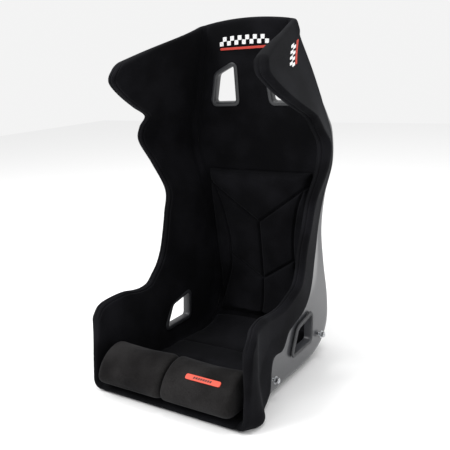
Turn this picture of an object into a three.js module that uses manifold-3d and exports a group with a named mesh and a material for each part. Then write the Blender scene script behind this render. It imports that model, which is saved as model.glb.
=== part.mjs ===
// Fixed-back racing bucket seat with head wings, as an assembly of its real pieces.
//
// Millimetres, +Z up, front of the seat towards -Y, the sitter's left towards +X.
// The moulded shell, its foam and its fabric covers share one family of sections: each
// section is a U that stands on the seat's centreline and ends at the padded rim.
// Rulings fan out from the centreline of the base and back to the rim, so a section is
// upright at the thighs, leans forward at the hips and lies flat at the shoulders and head.

import * as THREE from 'three';
import { mergeVertices } from 'three/addons/utils/BufferGeometryUtils.js';
import Module from 'manifold-3d';

const wasm = await Module();
wasm.setup();

// ---------------------------------------------------------------- driving dimensions
const HIP_WIDTH = 411;            // outside of the shell at the side mounts
const RIM_HEIGHT = 904;           // top of the head pad above the shell's underside
const BASE_DEPTH = 546;           // front of the thigh pads to the back of the seat hollow

const SHELL_WALL = 4.5;           // glass-fibre laminate
const FIT_GAP = 0.5;              // between bonded layers
const BASE_FOAM = 7;              // foam sheet in the hollow
const RIM_FOAM = 9;               // extra foam in the side bolsters
const COVER_WALL = 3;             // foam-backed fabric
const RIM_ROLL = 14;              // padded roll beyond the shell's edge
const SEAM_GAP = 0.6;             // between two cover panels

const BACK_CUSHION_THICKNESS = 19;
const BASE_CUSHION_THICKNESS = 29;
const STRIP_THICKNESS = 1.4;      // hook-and-loop tape
const STRIP_GAP = 0.4;            // tape to cover and tape to cushion

const FLANGE_WIDTH = 11;          // strap-opening trims
const FLANGE_THICKNESS = 2.6;
const COLLAR_WALL = 2.4;
const TRIM_CLEARANCE = 0.6;
const RING_THICKNESS = 2;
const PANEL_CROWN = 1;            // how far the back and side panels bulge

const BOLT_RADIUS = 4;            // M8
const BOLT_CLEARANCE = 0.4;
const BOLT_HEAD_RADIUS = 7.5;
const BOLT_HEAD_HEIGHT = 5.3;
const BOLT_GRIP = 14;
const WASHER_RADIUS = 10;
const WASHER_THICKNESS = 1.6;
const SPRING_RADIUS = 7.3;
const SPRING_THICKNESS = 2.1;
const SPRING_SPLIT = 0.5;         // radians left open
const STACK_GAP = 0.3;
const BRACKET_GAP = 3.5;          // left under the washers for a side bracket
const INSERT_SIZE = 28;           // threaded plate bonded inside each side mount
const INSERT_THICKNESS = 3.5;

const LAYER_COVER = SHELL_WALL + FIT_GAP + COVER_WALL;    // outside of the cover, behind the shell
const MID_SHELL = SHELL_WALL / 2;

// Widths, depths and heights scale with the three overall sizes.
const HIP_DRAWN = 411;
const HEIGHT_DRAWN = 904;
const DEPTH_DRAWN = 546;
const wide = (x) => (x * HIP_WIDTH) / HIP_DRAWN;
const deep = (y) => (y * BASE_DEPTH) / DEPTH_DRAWN;
const tall = (z) => (z * RIM_HEIGHT) / HEIGHT_DRAWN;

// ---------------------------------------------------------------- section family
// One row per station, from the front lip to the top of the head:
// centreline y, z of the shell's inner face; rim y, z; half-width of the hollow; half-width
// at the rim; corner radius; height up the wall where the flare starts; height up the
// wall, as a share, that the cover's outside turn-in stops at.
const STATIONS = [
  [24, 9, 50, 188, 224, 229, 24, 30, 0.02],
  [80, 8.5, 72, 214, 223, 228, 24, 40, 0.02],
  [128, 4.5, 101, 225, 203.5, 219, 26, 90, 0.08],
  [215, 4.5, 145, 227, 201, 213, 28, 150, 0.61],
  [300, 4.5, 180, 221, 201, 209, 30, 175, 0.67],
  [380, 4.5, 212, 218, 201, 208, 30, 185, 0.78],
  [450, 11, 243, 222, 201, 210, 31, 190, 0.81],
  [505, 36, 273, 238, 201, 216, 32, 190, 0.79],
  [535, 82, 302, 258, 201, 221, 34, 170, 0.78],
  [545, 150, 322, 292, 196, 221, 30, 110, 0.76],
  [542, 240, 338, 340, 188, 221, 26, 60, 0.69],
  [536, 340, 358, 392, 186, 225, 24, 40, 0.58],
  [531, 440, 376, 452, 200, 229, 24, 30, 0.5],
  [529, 530, 364, 528, 224, 260, 24, 30, 0.5],
  [524, 610, 340, 592, 226, 281, 24, 30, 0.5],
  [519.3, 650, 334, 632, 216, 270, 24, 30, 0.46],
  [513.3, 690, 338, 662, 203, 254, 25, 30, 0.42],
  [507.2, 730, 284, 690, 191, 246, 25, 25, 0.38],
  [501.1, 770, 230, 720, 179, 238, 25, 25, 0.35],
  [495, 810, 188, 750, 167, 230, 24, 25, 0.35],
  [488.9, 850, 175, 769, 156, 222, 24, 25, 0.35],
  [482.9, 890, 183, 789, 147, 215, 23, 25, 0.35],
  [480.8, 904, 195, 805, 144, 210, 22, 25, 0.35],
].map(([sy, sz, ey, ez, hollow, rim, corner, flare, hem]) => ({
  sy: deep(sy), sz: tall(sz), ey: deep(ey), ez: tall(ez),
  hollow: wide(hollow), rim: wide(rim), corner, flare, hem,
}));
const LAST = STATIONS.length - 1;

const V_SHELL = [0.2, LAST - 0.6];    // the shell stops short of the covers' ends
const V_SPLIT = 6.9;                  // base panel below, back panel above
const SPLIT_GAP = 0.008;              // stations between neighbouring panels
const ROWS_PER_STATION = 1;

// Catmull-Rom value of one column at v.
function column(name, v) {
  const i = Math.min(Math.floor(v), LAST - 1);
  const f = v - i;
  const p = [i - 1, i, i + 1, i + 2].map((k) => STATIONS[Math.max(0, Math.min(LAST, k))][name]);
  const a = -p[0] + 3 * p[1] - 3 * p[2] + p[3];
  const b = 2 * p[0] - 5 * p[1] + 4 * p[2] - p[3];
  return 0.5 * (2 * p[1] + (p[2] - p[0]) * f + b * f * f + a * f * f * f);
}

// The section at v: its origin on the centreline, its direction to the rim, its sizes.
// Between sampled rows everything is interpolated in a straight line, so that neighbours
// with different ends still share the same flat facets.
function rowSection(v) {
  const get = (name) => column(name, v);
  const origin = new THREE.Vector2(get('sy'), get('sz'));
  const toRim = new THREE.Vector2(get('ey'), get('ez')).sub(origin);
  const height = toRim.length();
  return { origin, toRim: toRim.normalize(), height, hollow: get('hollow'), rim: get('rim'),
    corner: get('corner'), flare: get('flare'), hem: get('hem') };
}

// Base line of a section (the shell's inner face) at u: 0..1 floor, 1..2 corner, 2..3 wall.
function baseLine(s, u) {
  const top = s.height - RIM_ROLL;
  const wall = (t) => {
    const k = Math.max(0, (t - s.flare) / (s.height - s.flare));
    return s.hollow + (s.rim - s.hollow) * k ** 1.15;
  };
  if (u <= 1) return new THREE.Vector2((wall(0) - s.corner) * u, 0);
  if (u <= 2) {
    const k = u - 1;
    const x = (1 - k) ** 2 * (wall(0) - s.corner) + 2 * k * (1 - k) * wall(0) + k * k * wall(s.corner);
    return new THREE.Vector2(x, k * k * s.corner);
  }
  const t = s.corner + (top - s.corner) * (u - 2);
  return new THREE.Vector2(wall(t), t);
}

// Unit direction of the base line at u, and the normal towards the sitter.
function baseTangent(s, u) {
  const e = 0.004;
  const a = baseLine(s, Math.max(0, u - e));
  const b = baseLine(s, Math.min(3, u + e));
  return b.sub(a).normalize();
}
const towardsSitter = (t) => new THREE.Vector2(-t.y, t.x);

function offsetLine(s, u, distance) {
  return baseLine(s, u).addScaledVector(towardsSitter(baseTangent(s, u)), distance);
}

// Foam thickness: a flat sheet in the hollow, thicker up the side bolsters.
function foamThickness(u) {
  const k = THREE.MathUtils.smoothstep(u, 2.45, 3);
  return BASE_FOAM + RIM_FOAM * k;
}

// u values of the sampled half section.
const U_FLOOR = [0, 0.5, 1];
const U_CORNER = [1.33, 1.67, 2];
const U_WALL = [2.25, 2.5, 2.75, 3];
const U_SIDE = [1, ...U_CORNER, ...U_WALL];
const U_ALL = [...U_FLOOR, ...U_CORNER, ...U_WALL];

const foamFace = (u) => foamThickness(u);
const coverFace = (u) => foamThickness(u) + FIT_GAP + COVER_WALL;
const fixed = (value) => () => value;

// Point of a layer at u, on the straight line between the sampled points beside it.
function layerPoint(s, u, offset) {
  const next = Math.max(1, U_ALL.findIndex((k) => k >= u - 1e-9));
  const [a, b] = [U_ALL[next - 1], U_ALL[next]];
  return offsetLine(s, a, offset(a)).lerp(offsetLine(s, b, offset(b)), (u - a) / (b - a));
}

// ---------------------------------------------------------------- mesh helpers
function toManifold(geometry) {
  const bare = geometry.index ? geometry.toNonIndexed() : geometry.clone();
  for (const name of Object.keys(bare.attributes)) {
    if (name !== 'position') bare.deleteAttribute(name);
  }
  const merged = mergeVertices(bare, 1e-4);
  return new wasm.Manifold(new wasm.Mesh({
    numProp: 3,
    vertProperties: new Float32Array(merged.attributes.position.array),
    triVerts: new Uint32Array(merged.index.array),
  }));
}

function toGeometry(manifold) {
  const mesh = manifold.getMesh();
  const geometry = new THREE.BufferGeometry();
  const count = mesh.vertProperties.length / mesh.numProp;
  const positions = new Float32Array(count * 3);
  for (let i = 0; i < count; i += 1) {
    for (let k = 0; k < 3; k += 1) positions[3 * i + k] = mesh.vertProperties[mesh.numProp * i + k];
  }
  geometry.setAttribute('position', new THREE.BufferAttribute(positions, 3));
  geometry.setIndex(new THREE.BufferAttribute(new Uint32Array(mesh.triVerts), 1));
  return geometry;
}

// Closed solid through rings of points, with flat ends; the rings' section points close
// each end. Every quad is split from its point nearer the rim, so that layers which run
// side by side are split alike and keep their gap.
function loftGeometry(rings, flats) {
  const n = rings[0].length;
  const index = [];
  const reach = (r, i) => Math.abs(flats[r][i].x) + flats[r][i].y;
  for (let r = 0; r < rings.length - 1; r += 1) {
    for (let i = 0; i < n; i += 1) {
      const j = (i + 1) % n;
      const [a, b, c, d] = [r * n + i, r * n + j, (r + 1) * n + j, (r + 1) * n + i];
      if (reach(r, i) > reach(r, j)) index.push(a, b, c, a, c, d);
      else index.push(a, b, d, b, c, d);
    }
  }
  const last = (rings.length - 1) * n;
  const endFaces = (cap) => {
    const faces = THREE.ShapeUtils.triangulateShape(cap, []);
    return THREE.ShapeUtils.isClockWise(cap) ? faces.map(([a, b, c]) => [c, b, a]) : faces;
  };
  for (const [a, b, c] of endFaces(flats[0])) index.push(c, b, a);
  for (const [a, b, c] of endFaces(flats[rings.length - 1])) index.push(last + a, last + b, last + c);
  const positions = rings.flat().flatMap((p) => [p.x, p.y, p.z]);
  const geometry = new THREE.BufferGeometry();
  geometry.setAttribute('position', new THREE.Float32BufferAttribute(positions, 3));
  geometry.setIndex(index);
  return facingOut(geometry);
}

function signedVolume(geometry) {
  const p = geometry.attributes.position;
  const [a, b, c] = [new THREE.Vector3(), new THREE.Vector3(), new THREE.Vector3()];
  let volume = 0;
  for (let i = 0; i < geometry.index.count; i += 3) {
    a.fromBufferAttribute(p, geometry.index.getX(i));
    b.fromBufferAttribute(p, geometry.index.getX(i + 1));
    c.fromBufferAttribute(p, geometry.index.getX(i + 2));
    volume += a.dot(b.cross(c));
  }
  return volume / 6;
}

function facingOut(geometry) {
  if (signedVolume(geometry) < 0) {
    const list = geometry.index.array;
    for (let i = 0; i < list.length; i += 3) [list[i], list[i + 1]] = [list[i + 1], list[i]];
  }
  return geometry;
}

// The biggest of the bodies that a cut leaves; the rest are offcuts.
const largestBody = (manifold) => manifold.decompose().sort((a, b) => b.volume() - a.volume())[0];

const mirrored = (manifold) => manifold.mirror([1, 0, 0]);

// ---------------------------------------------------------------- solids along the sections
// Rows between two v values: the sampled rows and the two ends.
function rowsBetween(v0, v1) {
  const rows = [v0];
  for (let k = 0; k <= LAST * ROWS_PER_STATION; k += 1) {
    const v = k / ROWS_PER_STATION;
    if (v > v0 + 0.06 && v < v1 - 0.06) rows.push(v);
  }
  rows.push(v1);
  return rows;
}

const along = (s, p) => new THREE.Vector3(p.x, s.origin.x + s.toRim.x * p.y, s.origin.y + s.toRim.y * p.y);

// Ring at v, interpolated in a straight line between the sampled rows on either side.
function ringAt(v, profile) {
  const step = 1 / ROWS_PER_STATION;
  const low = Math.min(Math.floor(v / step + 1e-9) * step, LAST - step);
  const f = (v - low) / step;
  const at = (w) => {
    const s = rowSection(w);
    const flat = profile(s, w);
    return { flat, ring: flat.map((p) => along(s, p)) };
  };
  const a = at(low);
  if (f < 1e-6) return a;
  const b = at(low + step);
  return {
    flat: a.flat.map((p, i) => p.clone().lerp(b.flat[i], f)),
    ring: a.ring.map((p, i) => p.clone().lerp(b.ring[i], f)),
  };
}

function loftSections(v0, v1, profile) {
  const rings = rowsBetween(v0, v1).map((v) => ringAt(v, profile));
  return toManifold(loftGeometry(rings.map((r) => r.ring), rings.map((r) => r.flat)));
}

// Profile of a layer over u values, from one offset to another, on the right-hand side.
const sideLayer = (us, inner, outer) => (s) => [
  ...us.map((u) => layerPoint(s, u, outer)),
  ...[...us].reverse().map((u) => layerPoint(s, u, inner)),
];

// Profile of a layer right across the seat, from left to right.
const fullLayer = (us, inner, outer) => (s) => {
  const right = (offset) => us.map((u) => layerPoint(s, u, offset));
  const across = (line) => [
    ...[...line].reverse().slice(0, us[0] === 0 ? -1 : undefined).map((p) => new THREE.Vector2(-p.x, p.y)),
    ...line,
  ];
  return [...across(right(outer)), ...across(right(inner)).reverse()];
};


// ---------------------------------------------------------------- openings
// Outline in its own plane, grown by a distance and with rounded corners.
function outline(points, grow, radius) {
  const n = points.length;
  const p = points.map(([x, y]) => new THREE.Vector2(x, y));
  if (THREE.ShapeUtils.isClockWise(p)) p.reverse();
  const edges = p.map((a, i) => {
    const d = p[(i + 1) % n].clone().sub(a).normalize();
    const normal = new THREE.Vector2(d.y, -d.x);
    return { a: a.clone().addScaledVector(normal, grow), d };
  });
  const corners = edges.map((e, i) => {
    const f = edges[(i + n - 1) % n];
    const k = (e.a.clone().sub(f.a)).cross(e.d) / f.d.cross(e.d);
    return f.a.clone().addScaledVector(f.d, k);
  });
  const reach = radius + grow;
  const shape = new THREE.Path();
  corners.forEach((c, i) => {
    const before = corners[(i + n - 1) % n].clone().sub(c).setLength(reach).add(c);
    const after = corners[(i + 1) % n].clone().sub(c).setLength(reach).add(c);
    if (i === 0) shape.moveTo(before.x, before.y);
    else shape.lineTo(before.x, before.y);
    shape.quadraticCurveTo(c.x, c.y, after.x, after.y);
  });
  shape.closePath();
  return shape;
}

const CORNER_STEPS = 3;
// Flat ring or plate between two heights along the plane's normal.
function prism(outer, hole, low, high) {
  const shape = new THREE.Shape(outer.getPoints(CORNER_STEPS));
  if (hole) shape.holes.push(new THREE.Path(hole.getPoints(CORNER_STEPS)));
  const body = new THREE.ExtrudeGeometry(shape, { depth: high - low, bevelEnabled: false });
  body.translate(0, 0, low);
  return toManifold(body);
}

function placed(manifold, matrix) {
  return manifold.transform(Array.from(matrix.elements));
}

// Plane of the back above the shoulders: x across, y up the slope, z towards the sitter.
const backSlope = new THREE.Vector3(0, STATIONS[18].sy - STATIONS[16].sy, STATIONS[18].sz - STATIONS[16].sz)
  .normalize();
const SLOT_STATION = STATIONS[16];
const slotFrame = new THREE.Matrix4()
  .makeBasis(new THREE.Vector3(1, 0, 0), backSlope, new THREE.Vector3(0, -backSlope.z, backSlope.y))
  .setPosition(0, SLOT_STATION.sy, SLOT_STATION.sz);
const SLOT_OUTLINE = [[57, -3], [51, 97], [107, 72], [129, -4]].map(([x, y]) => [wide(x), tall(y)]);
const SLOT_CORNER = 11;

// Plane of the side mount panel: x along the seat, y up, z outwards, on the shell's inner face.
const sidePlane = (x) => new THREE.Matrix4()
  .makeBasis(new THREE.Vector3(0, 1, 0), new THREE.Vector3(0, 0, 1), new THREE.Vector3(1, 0, 0))
  .setPosition(x, 0, 0);
const HIP_INNER = STATIONS[5].hollow;
const LAP_OUTLINE = [[294, 74], [326, 130], [403, 142], [396, 74]].map(([y, z]) => [deep(y), tall(z)]);
const LAP_CORNER = 12;

// Crotch strap slot in the floor: x across, y along the seat, z up, on the shell's inner face.
const floorFrame = new THREE.Matrix4().setPosition(0, 0, STATIONS[3].sz);
const CROTCH_OUTLINE = [[-36, 146], [-36, 170], [36, 170], [36, 146]].map(([x, y]) => [wide(x), deep(y)]);
const CROTCH_CORNER = 8;

const CUT_REACH = 60;
const cutter = (points, radius, frame) => placed(
  prism(outline(points, COLLAR_WALL + TRIM_CLEARANCE, radius), null, -CUT_REACH, CUT_REACH), frame);

// Side mount bolts, y and z of each axis: the inserts stand just clear of the hollow's corner.
const INSERT_MARGIN = 1.5;         // insert plate to the end of the floor's rounded corner
const REAR_MOUNT_RISE = 15;
const MOUNT_HEIGHT = STATIONS[4].sz + STATIONS[4].corner + INSERT_SIZE / 2 + INSERT_MARGIN;
const MOUNTS = { front: [deep(196), MOUNT_HEIGHT], rear: [deep(457), MOUNT_HEIGHT + REAR_MOUNT_RISE] };

function discAlongX(radius, x0, x1, [y, z], sides = 16) {
  const body = new THREE.CylinderGeometry(radius, radius, x1 - x0, sides);
  body.rotateZ(-Math.PI / 2);
  body.translate((x0 + x1) / 2, y, z);
  return toManifold(body);
}

function boxAround([x0, x1], [y0, y1], [z0, z1]) {
  const body = new THREE.BoxGeometry(x1 - x0, y1 - y0, z1 - z0);
  body.translate((x0 + x1) / 2, (y0 + y1) / 2, (z0 + z1) / 2);
  return toManifold(body);
}

const bothSides = (manifold) => manifold.add(mirrored(manifold));

const slotCut = bothSides(cutter(SLOT_OUTLINE, SLOT_CORNER, slotFrame));
const lapCut = bothSides(cutter(LAP_OUTLINE, LAP_CORNER, sidePlane(HIP_INNER)));
const crotchCut = cutter(CROTCH_OUTLINE, CROTCH_CORNER, floorFrame);
const openings = slotCut.add(lapCut).add(crotchCut);

const HIP_OUTER = HIP_INNER + SHELL_WALL;
const insertRange = ([y, z], grow) => [
  [HIP_INNER - FIT_GAP - INSERT_THICKNESS - grow, HIP_INNER - FIT_GAP + grow],
  [y - INSERT_SIZE / 2 - grow, y + INSERT_SIZE / 2 + grow],
  [z - INSERT_SIZE / 2 - grow, z + INSERT_SIZE / 2 + grow],
];

// ---------------------------------------------------------------- shell
function makeShell() {
  let shell = loftSections(...V_SHELL, fullLayer(U_ALL, fixed(0), fixed(-SHELL_WALL)));
  shell = shell.subtract(openings);
  for (const place of Object.values(MOUNTS)) {
    const hole = discAlongX(BOLT_RADIUS + BOLT_CLEARANCE, HIP_INNER - 5, HIP_OUTER + 5, place);
    shell = shell.subtract(bothSides(hole));
  }
  return shell;
}

// ---------------------------------------------------------------- foam
const FOAM_LOW = FIT_GAP;
const V_FOAM_TOP = V_SHELL[1] - 0.03;
const SIDE_FOAMS = [['thigh_foam', V_SHELL[0] + 0.1, 8 - SPLIT_GAP], ['torso_foam', 8, 15.5 - SPLIT_GAP],
  ['wing_foam', 15.5, V_FOAM_TOP]];
function sideFoam(v0, v1) {
  let foam = loftSections(v0, v1, sideLayer(U_SIDE.map((u) => Math.max(u, 1.03)), fixed(FOAM_LOW), foamFace));
  foam = foam.subtract(openings);
  for (const place of Object.values(MOUNTS)) {
    foam = foam.subtract(boxAround(...insertRange(place, FIT_GAP)));
    foam = foam.subtract(discAlongX(BOLT_RADIUS + 1, HIP_INNER - 7, HIP_OUTER, place, 8));
  }
  return foam;
}

const centreFoam = (v0, v1) => loftSections(
  v0, v1, fullLayer([0, 0.5, 0.97], fixed(FOAM_LOW), foamFace)).subtract(openings);

// ---------------------------------------------------------------- covers
// Everything the covers have to leave free: shell and foam, with the fitting gap.
const core = loftSections(V_SHELL[0] - 0.03, V_SHELL[1] + 0.02, (s) => {
  const top = baseTangent(s, 3).multiplyScalar(FIT_GAP);
  const ring = fullLayer(U_ALL, fixed(-SHELL_WALL - FIT_GAP), (u) => foamFace(u) + FIT_GAP)(s);
  const mirrorTop = new THREE.Vector2(-top.x, top.y);
  const n = ring.length / 2;
  [0, 2 * n - 1].forEach((i) => ring[i].add(mirrorTop));
  [n - 1, n].forEach((i) => ring[i].add(top));
  return ring;
});

// Roll over the rim, from the sitter's side to the outside.
function rimRoll(s) {
  const tangent = baseTangent(s, 3);
  const normal = towardsSitter(tangent);
  const inside = coverFace(3);
  const half = (inside + LAYER_COVER) / 2;
  const centre = baseLine(s, 3).addScaledVector(normal, (inside - LAYER_COVER) / 2);
  return [0.25, 0.5, 0.75].map((k) => centre.clone()
    .addScaledVector(normal, half * Math.cos(k * Math.PI))
    .addScaledVector(tangent, RIM_ROLL * Math.sin(k * Math.PI)));
}

// Stations over which the covers turn in behind the head's top and under the front lip.
const HEAD_HEM = [LAST - 1.6, LAST];
const LIP_HEM = [0, 0.55];

// Side cover: face in the hollow, roll over the rim, turn-in down the outside.
function sideCoverProfile(s) {
  const seam = 1 + SEAM_GAP / s.corner;
  const us = U_SIDE.map((u) => Math.max(u, seam));
  const hemEnd = THREE.MathUtils.lerp(1.3, 3, s.hem);
  const hem = [3, 2.75, 2.5, 2.25, 2].map((u, i) => Math.max(u, hemEnd + 0.004 * (5 - i)));
  const back = [0, 0.25, 0.5, 0.75, 1].map((k) => THREE.MathUtils.lerp(hemEnd, seam, k));
  return [
    ...us.map((u) => layerPoint(s, u, coverFace)),
    ...rimRoll(s),
    ...[...hem, hemEnd].map((u) => layerPoint(s, u, fixed(-LAYER_COVER))),
    ...back.map((u) => layerPoint(s, u, fixed(-MID_SHELL))),
  ];
}

function makeSideCover() {
  const us = [1.03, 1.33, 1.67, 2, 2.5, 2.97];
  const headHem = loftSections(...HEAD_HEM, sideLayer(us, fixed(-MID_SHELL + 1), fixed(-LAYER_COVER)));
  const lipHem = loftSections(...LIP_HEM, sideLayer(us, fixed(-MID_SHELL + 1), fixed(-LAYER_COVER)));
  const cover = loftSections(0, LAST, sideCoverProfile).add(headHem).add(lipHem);
  return largestBody(cover.subtract(core).subtract(openings));
}

function makeCentreCover(v0, v1, hemRange) {
  const us = [0, 0.5, 1];
  const face = loftSections(v0, v1, fullLayer(us, fixed(-MID_SHELL), coverFace));
  const hem = loftSections(...hemRange, fullLayer(us, fixed(-MID_SHELL + 1), fixed(-LAYER_COVER)));
  return face.add(hem).subtract(core).subtract(openings);
}

// ---------------------------------------------------------------- cushions
const STRIP_LOW = coverFace(0) + STRIP_GAP;
const CUSHION_LOW = STRIP_LOW + STRIP_THICKNESS + STRIP_GAP;
const BACK_CUSHION = { v0: 7.36, v1: 12.7, bottom: wide(150), top: wide(165), thick: BACK_CUSHION_THICKNESS };
const BASE_CUSHION = { v0: 2.7, v1: 7.14, bottom: wide(168), top: wide(154), thick: BASE_CUSHION_THICKNESS };
const CUSHION_EDGE = 12;          // rounding of a cushion's edge
const CUSHION_RAMP = 0.35;        // stations over which a cushion's end thins out

// Cushion that lies on the cover, with its edges and ends rounded off.
function makeCushion({ v0, v1, bottom, top, thick }) {
  return loftSections(v0, v1, (s, v) => {
    const along01 = THREE.MathUtils.clamp((v - v0) / (v1 - v0), 0, 1);
    const end = Math.min(v - v0, v1 - v) / CUSHION_RAMP;
    const t = thick * (0.7 + 0.3 * THREE.MathUtils.clamp(end, 0, 1));
    const w = THREE.MathUtils.lerp(bottom, top, along01);
    const half = [[w - CUSHION_EDGE / 2, 0], [w, t * 0.35], [w - CUSHION_EDGE / 3, t * 0.8], [w - CUSHION_EDGE, t]];
    const right = half.map(([x, y]) => new THREE.Vector2(x, CUSHION_LOW + y));
    const left = [...right].reverse().map((p) => new THREE.Vector2(-p.x, p.y));
    return [...right, ...left];
  });
}

// Hook-and-loop tape bonded to the cover under a cushion.
const tapePatch = (v0, v1, u0, u1) => loftSections(
  v0, v1, sideLayer([u0, (u0 + u1) / 2, u1], fixed(STRIP_LOW), fixed(STRIP_LOW + STRIP_THICKNESS)));

// Thigh pad: a padded roll that hangs over the front lip, y and z of its outline.
const PAD_OUTLINE = [[5, 40], [2, 49], [12, 71], [28, 90], [48, 105], [70, 114], [88, 117], [102, 112],
  [110, 98], [112, 60], [112, 26], [40, 26], [15, 32]].map(([y, z]) => [deep(y), z]);
const PAD_INNER = 1.2;            // half the split between the pads
const PAD_OUTER = wide(192);
const PAD_BEVEL = 6;
const sideways = new THREE.Matrix4().makeBasis(
  new THREE.Vector3(0, 1, 0), new THREE.Vector3(0, 0, 1), new THREE.Vector3(1, 0, 0));

function makeThighPad() {
  const shape = new THREE.Shape(PAD_OUTLINE.map(([y, z]) => new THREE.Vector2(y, z)));
  const body = new THREE.ExtrudeGeometry(shape, { depth: PAD_OUTER - PAD_INNER - 2 * PAD_BEVEL,
    bevelThickness: PAD_BEVEL, bevelSize: PAD_BEVEL, bevelOffset: -PAD_BEVEL, bevelSegments: 2 });
  body.translate(0, 0, PAD_INNER + PAD_BEVEL);
  return placed(toManifold(body), sideways);
}

// ---------------------------------------------------------------- strap-opening trims
function flangedTrim(points, radius, frame, flange, collar) {
  const hole = outline(points, 0, radius);
  const ring = prism(outline(points, FLANGE_WIDTH, radius), hole, ...flange);
  return placed(ring.add(prism(outline(points, COLLAR_WALL, radius), hole, ...collar)), frame);
}

const clipRing = (points, radius, frame, range) => placed(
  prism(outline(points, FLANGE_WIDTH, radius), outline(points, COLLAR_WALL + STACK_GAP, radius), ...range),
  frame);

const TRIM_GAP = 0.4;
const FRONT_FLANGE = [coverFace(0) + TRIM_GAP, coverFace(0) + TRIM_GAP + FLANGE_THICKNESS];
const COLLAR_REACH = 4;           // how far a collar stands out behind the shell
const COLLAR_END = SHELL_WALL + COLLAR_REACH;
const RING_RANGE = [SHELL_WALL + PANEL_CROWN, SHELL_WALL + PANEL_CROWN + RING_THICKNESS];

const LAP_STATIONS = [3, 8];       // stations in front of and behind the lap opening
const HALVINGS = 20;

// How far the side cover's face rises above its flat part under an outline on the side panel:
// the section through each point is found by halving, then the cover's face is read there.
function riseUnder(points, radius) {
  const rises = outline(points, FLANGE_WIDTH, radius).getPoints(CORNER_STEPS).map(({ x: y, y: z }) => {
    let [low, high] = LAP_STATIONS;
    for (let k = 0; k < HALVINGS; k += 1) {
      const { origin, toRim } = rowSection((low + high) / 2);
      if ((y - origin.x) * toRim.y > (z - origin.y) * toRim.x) low = (low + high) / 2;
      else high = (low + high) / 2;
    }
    const s = rowSection(low);
    const reach = new THREE.Vector2(y, z).distanceTo(s.origin);
    const u = 2 + (reach - s.corner) / (s.height - RIM_ROLL - s.corner);
    return coverFace(u) - coverFace(0);
  });
  return Math.max(...rises);
}
const LAP_RISE = Math.max(PANEL_CROWN, riseUnder(LAP_OUTLINE, LAP_CORNER));
const LAP_FLANGE = FRONT_FLANGE.map((z) => z + LAP_RISE);

const makeSlotTrim = () => flangedTrim(SLOT_OUTLINE, SLOT_CORNER, slotFrame,
  FRONT_FLANGE, [-COLLAR_END, FRONT_FLANGE[0] + 1]);
const makeSlotRing = () => clipRing(SLOT_OUTLINE, SLOT_CORNER, slotFrame, [-RING_RANGE[1], -RING_RANGE[0]]);
const makeLapTrim = () => flangedTrim(LAP_OUTLINE, LAP_CORNER, sidePlane(HIP_INNER),
  [-LAP_FLANGE[1], -LAP_FLANGE[0]], [-LAP_FLANGE[0] - 1, COLLAR_END]);
const makeLapRing = () => clipRing(LAP_OUTLINE, LAP_CORNER, sidePlane(HIP_INNER), RING_RANGE);
const makeCrotchTrim = () => flangedTrim(CROTCH_OUTLINE, CROTCH_CORNER, floorFrame,
  FRONT_FLANGE, [-SHELL_WALL + 0.5, FRONT_FLANGE[0] + 1]);

// ---------------------------------------------------------------- side mount fasteners
const makeInsert = (place) => boxAround(...insertRange(place, 0))
  .subtract(discAlongX(BOLT_RADIUS + BOLT_CLEARANCE, HIP_INNER - 6, HIP_INNER, place));

const WASHER_X = [HIP_OUTER + BRACKET_GAP, HIP_OUTER + BRACKET_GAP + WASHER_THICKNESS];
const SPRING_X = [WASHER_X[1] + STACK_GAP, WASHER_X[1] + STACK_GAP + SPRING_THICKNESS];
const HEAD_X = [SPRING_X[1] + STACK_GAP, SPRING_X[1] + STACK_GAP + BOLT_HEAD_HEIGHT];

const makeWasher = (place) => discAlongX(WASHER_RADIUS, ...WASHER_X, place)
  .subtract(discAlongX(BOLT_RADIUS + BOLT_CLEARANCE, WASHER_X[0] - 1, WASHER_X[1] + 1, place));

// Split ring: a C-shaped outline.
function makeSpringWasher([y, z]) {
  const inner = BOLT_RADIUS + BOLT_CLEARANCE;
  const shape = new THREE.Shape();
  shape.absarc(0, 0, SPRING_RADIUS, SPRING_SPLIT / 2, 2 * Math.PI - SPRING_SPLIT / 2, false);
  shape.absarc(0, 0, inner, 2 * Math.PI - SPRING_SPLIT / 2, SPRING_SPLIT / 2, true);
  shape.closePath();
  const body = new THREE.ExtrudeGeometry(shape, {
    depth: SPRING_THICKNESS, bevelEnabled: false, curveSegments: 9 });
  body.translate(0, 0, SPRING_X[0]);
  return placed(toManifold(body), sideways.clone().setPosition(0, y, z));
}

const makeBolt = (place) => discAlongX(BOLT_HEAD_RADIUS, ...HEAD_X, place, 6)
  .add(discAlongX(BOLT_RADIUS, HEAD_X[0] - BOLT_GRIP, HEAD_X[0] + 1, place));

// ---------------------------------------------------------------- tag and badges
const TAG_SIZE = [95, 13.5];
const TAG_CENTRE = wide(111);
const TAG_THICKNESS = 1.2;
const TAG_CORNER = 5;
const BADGE_SIZE = [146, 34];
const BADGE_CENTRE = tall(155);
const BADGE_THICKNESS = 1;

function roundedPlate([length, height], thickness, radius) {
  const [a, b] = [length / 2, height / 2];
  return prism(outline([[-a, -b], [-a, b], [a, b], [a, -b]], 0, radius), null, 0, thickness);
}

// The tag lies on the pad's upper front facet.
function makePadTag() {
  const [low, high] = [PAD_OUTLINE[3], PAD_OUTLINE[4]].map(([y, z]) => new THREE.Vector3(0, y, z));
  const up = high.clone().sub(low).normalize();
  const out = new THREE.Vector3(1, 0, 0).cross(up);
  const centre = low.add(high).multiplyScalar(0.5).addScaledVector(out, TRIM_GAP);
  centre.x = TAG_CENTRE;
  const frame = new THREE.Matrix4().makeBasis(new THREE.Vector3(1, 0, 0), up, out).setPosition(centre);
  return placed(roundedPlate(TAG_SIZE, TAG_THICKNESS, TAG_CORNER), frame);
}

function makeHeadBadge() {
  const plate = roundedPlate(BADGE_SIZE, BADGE_THICKNESS, 5);
  return placed(plate.translate([0, BADGE_CENTRE, coverFace(0) + TRIM_GAP]), slotFrame);
}

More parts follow.
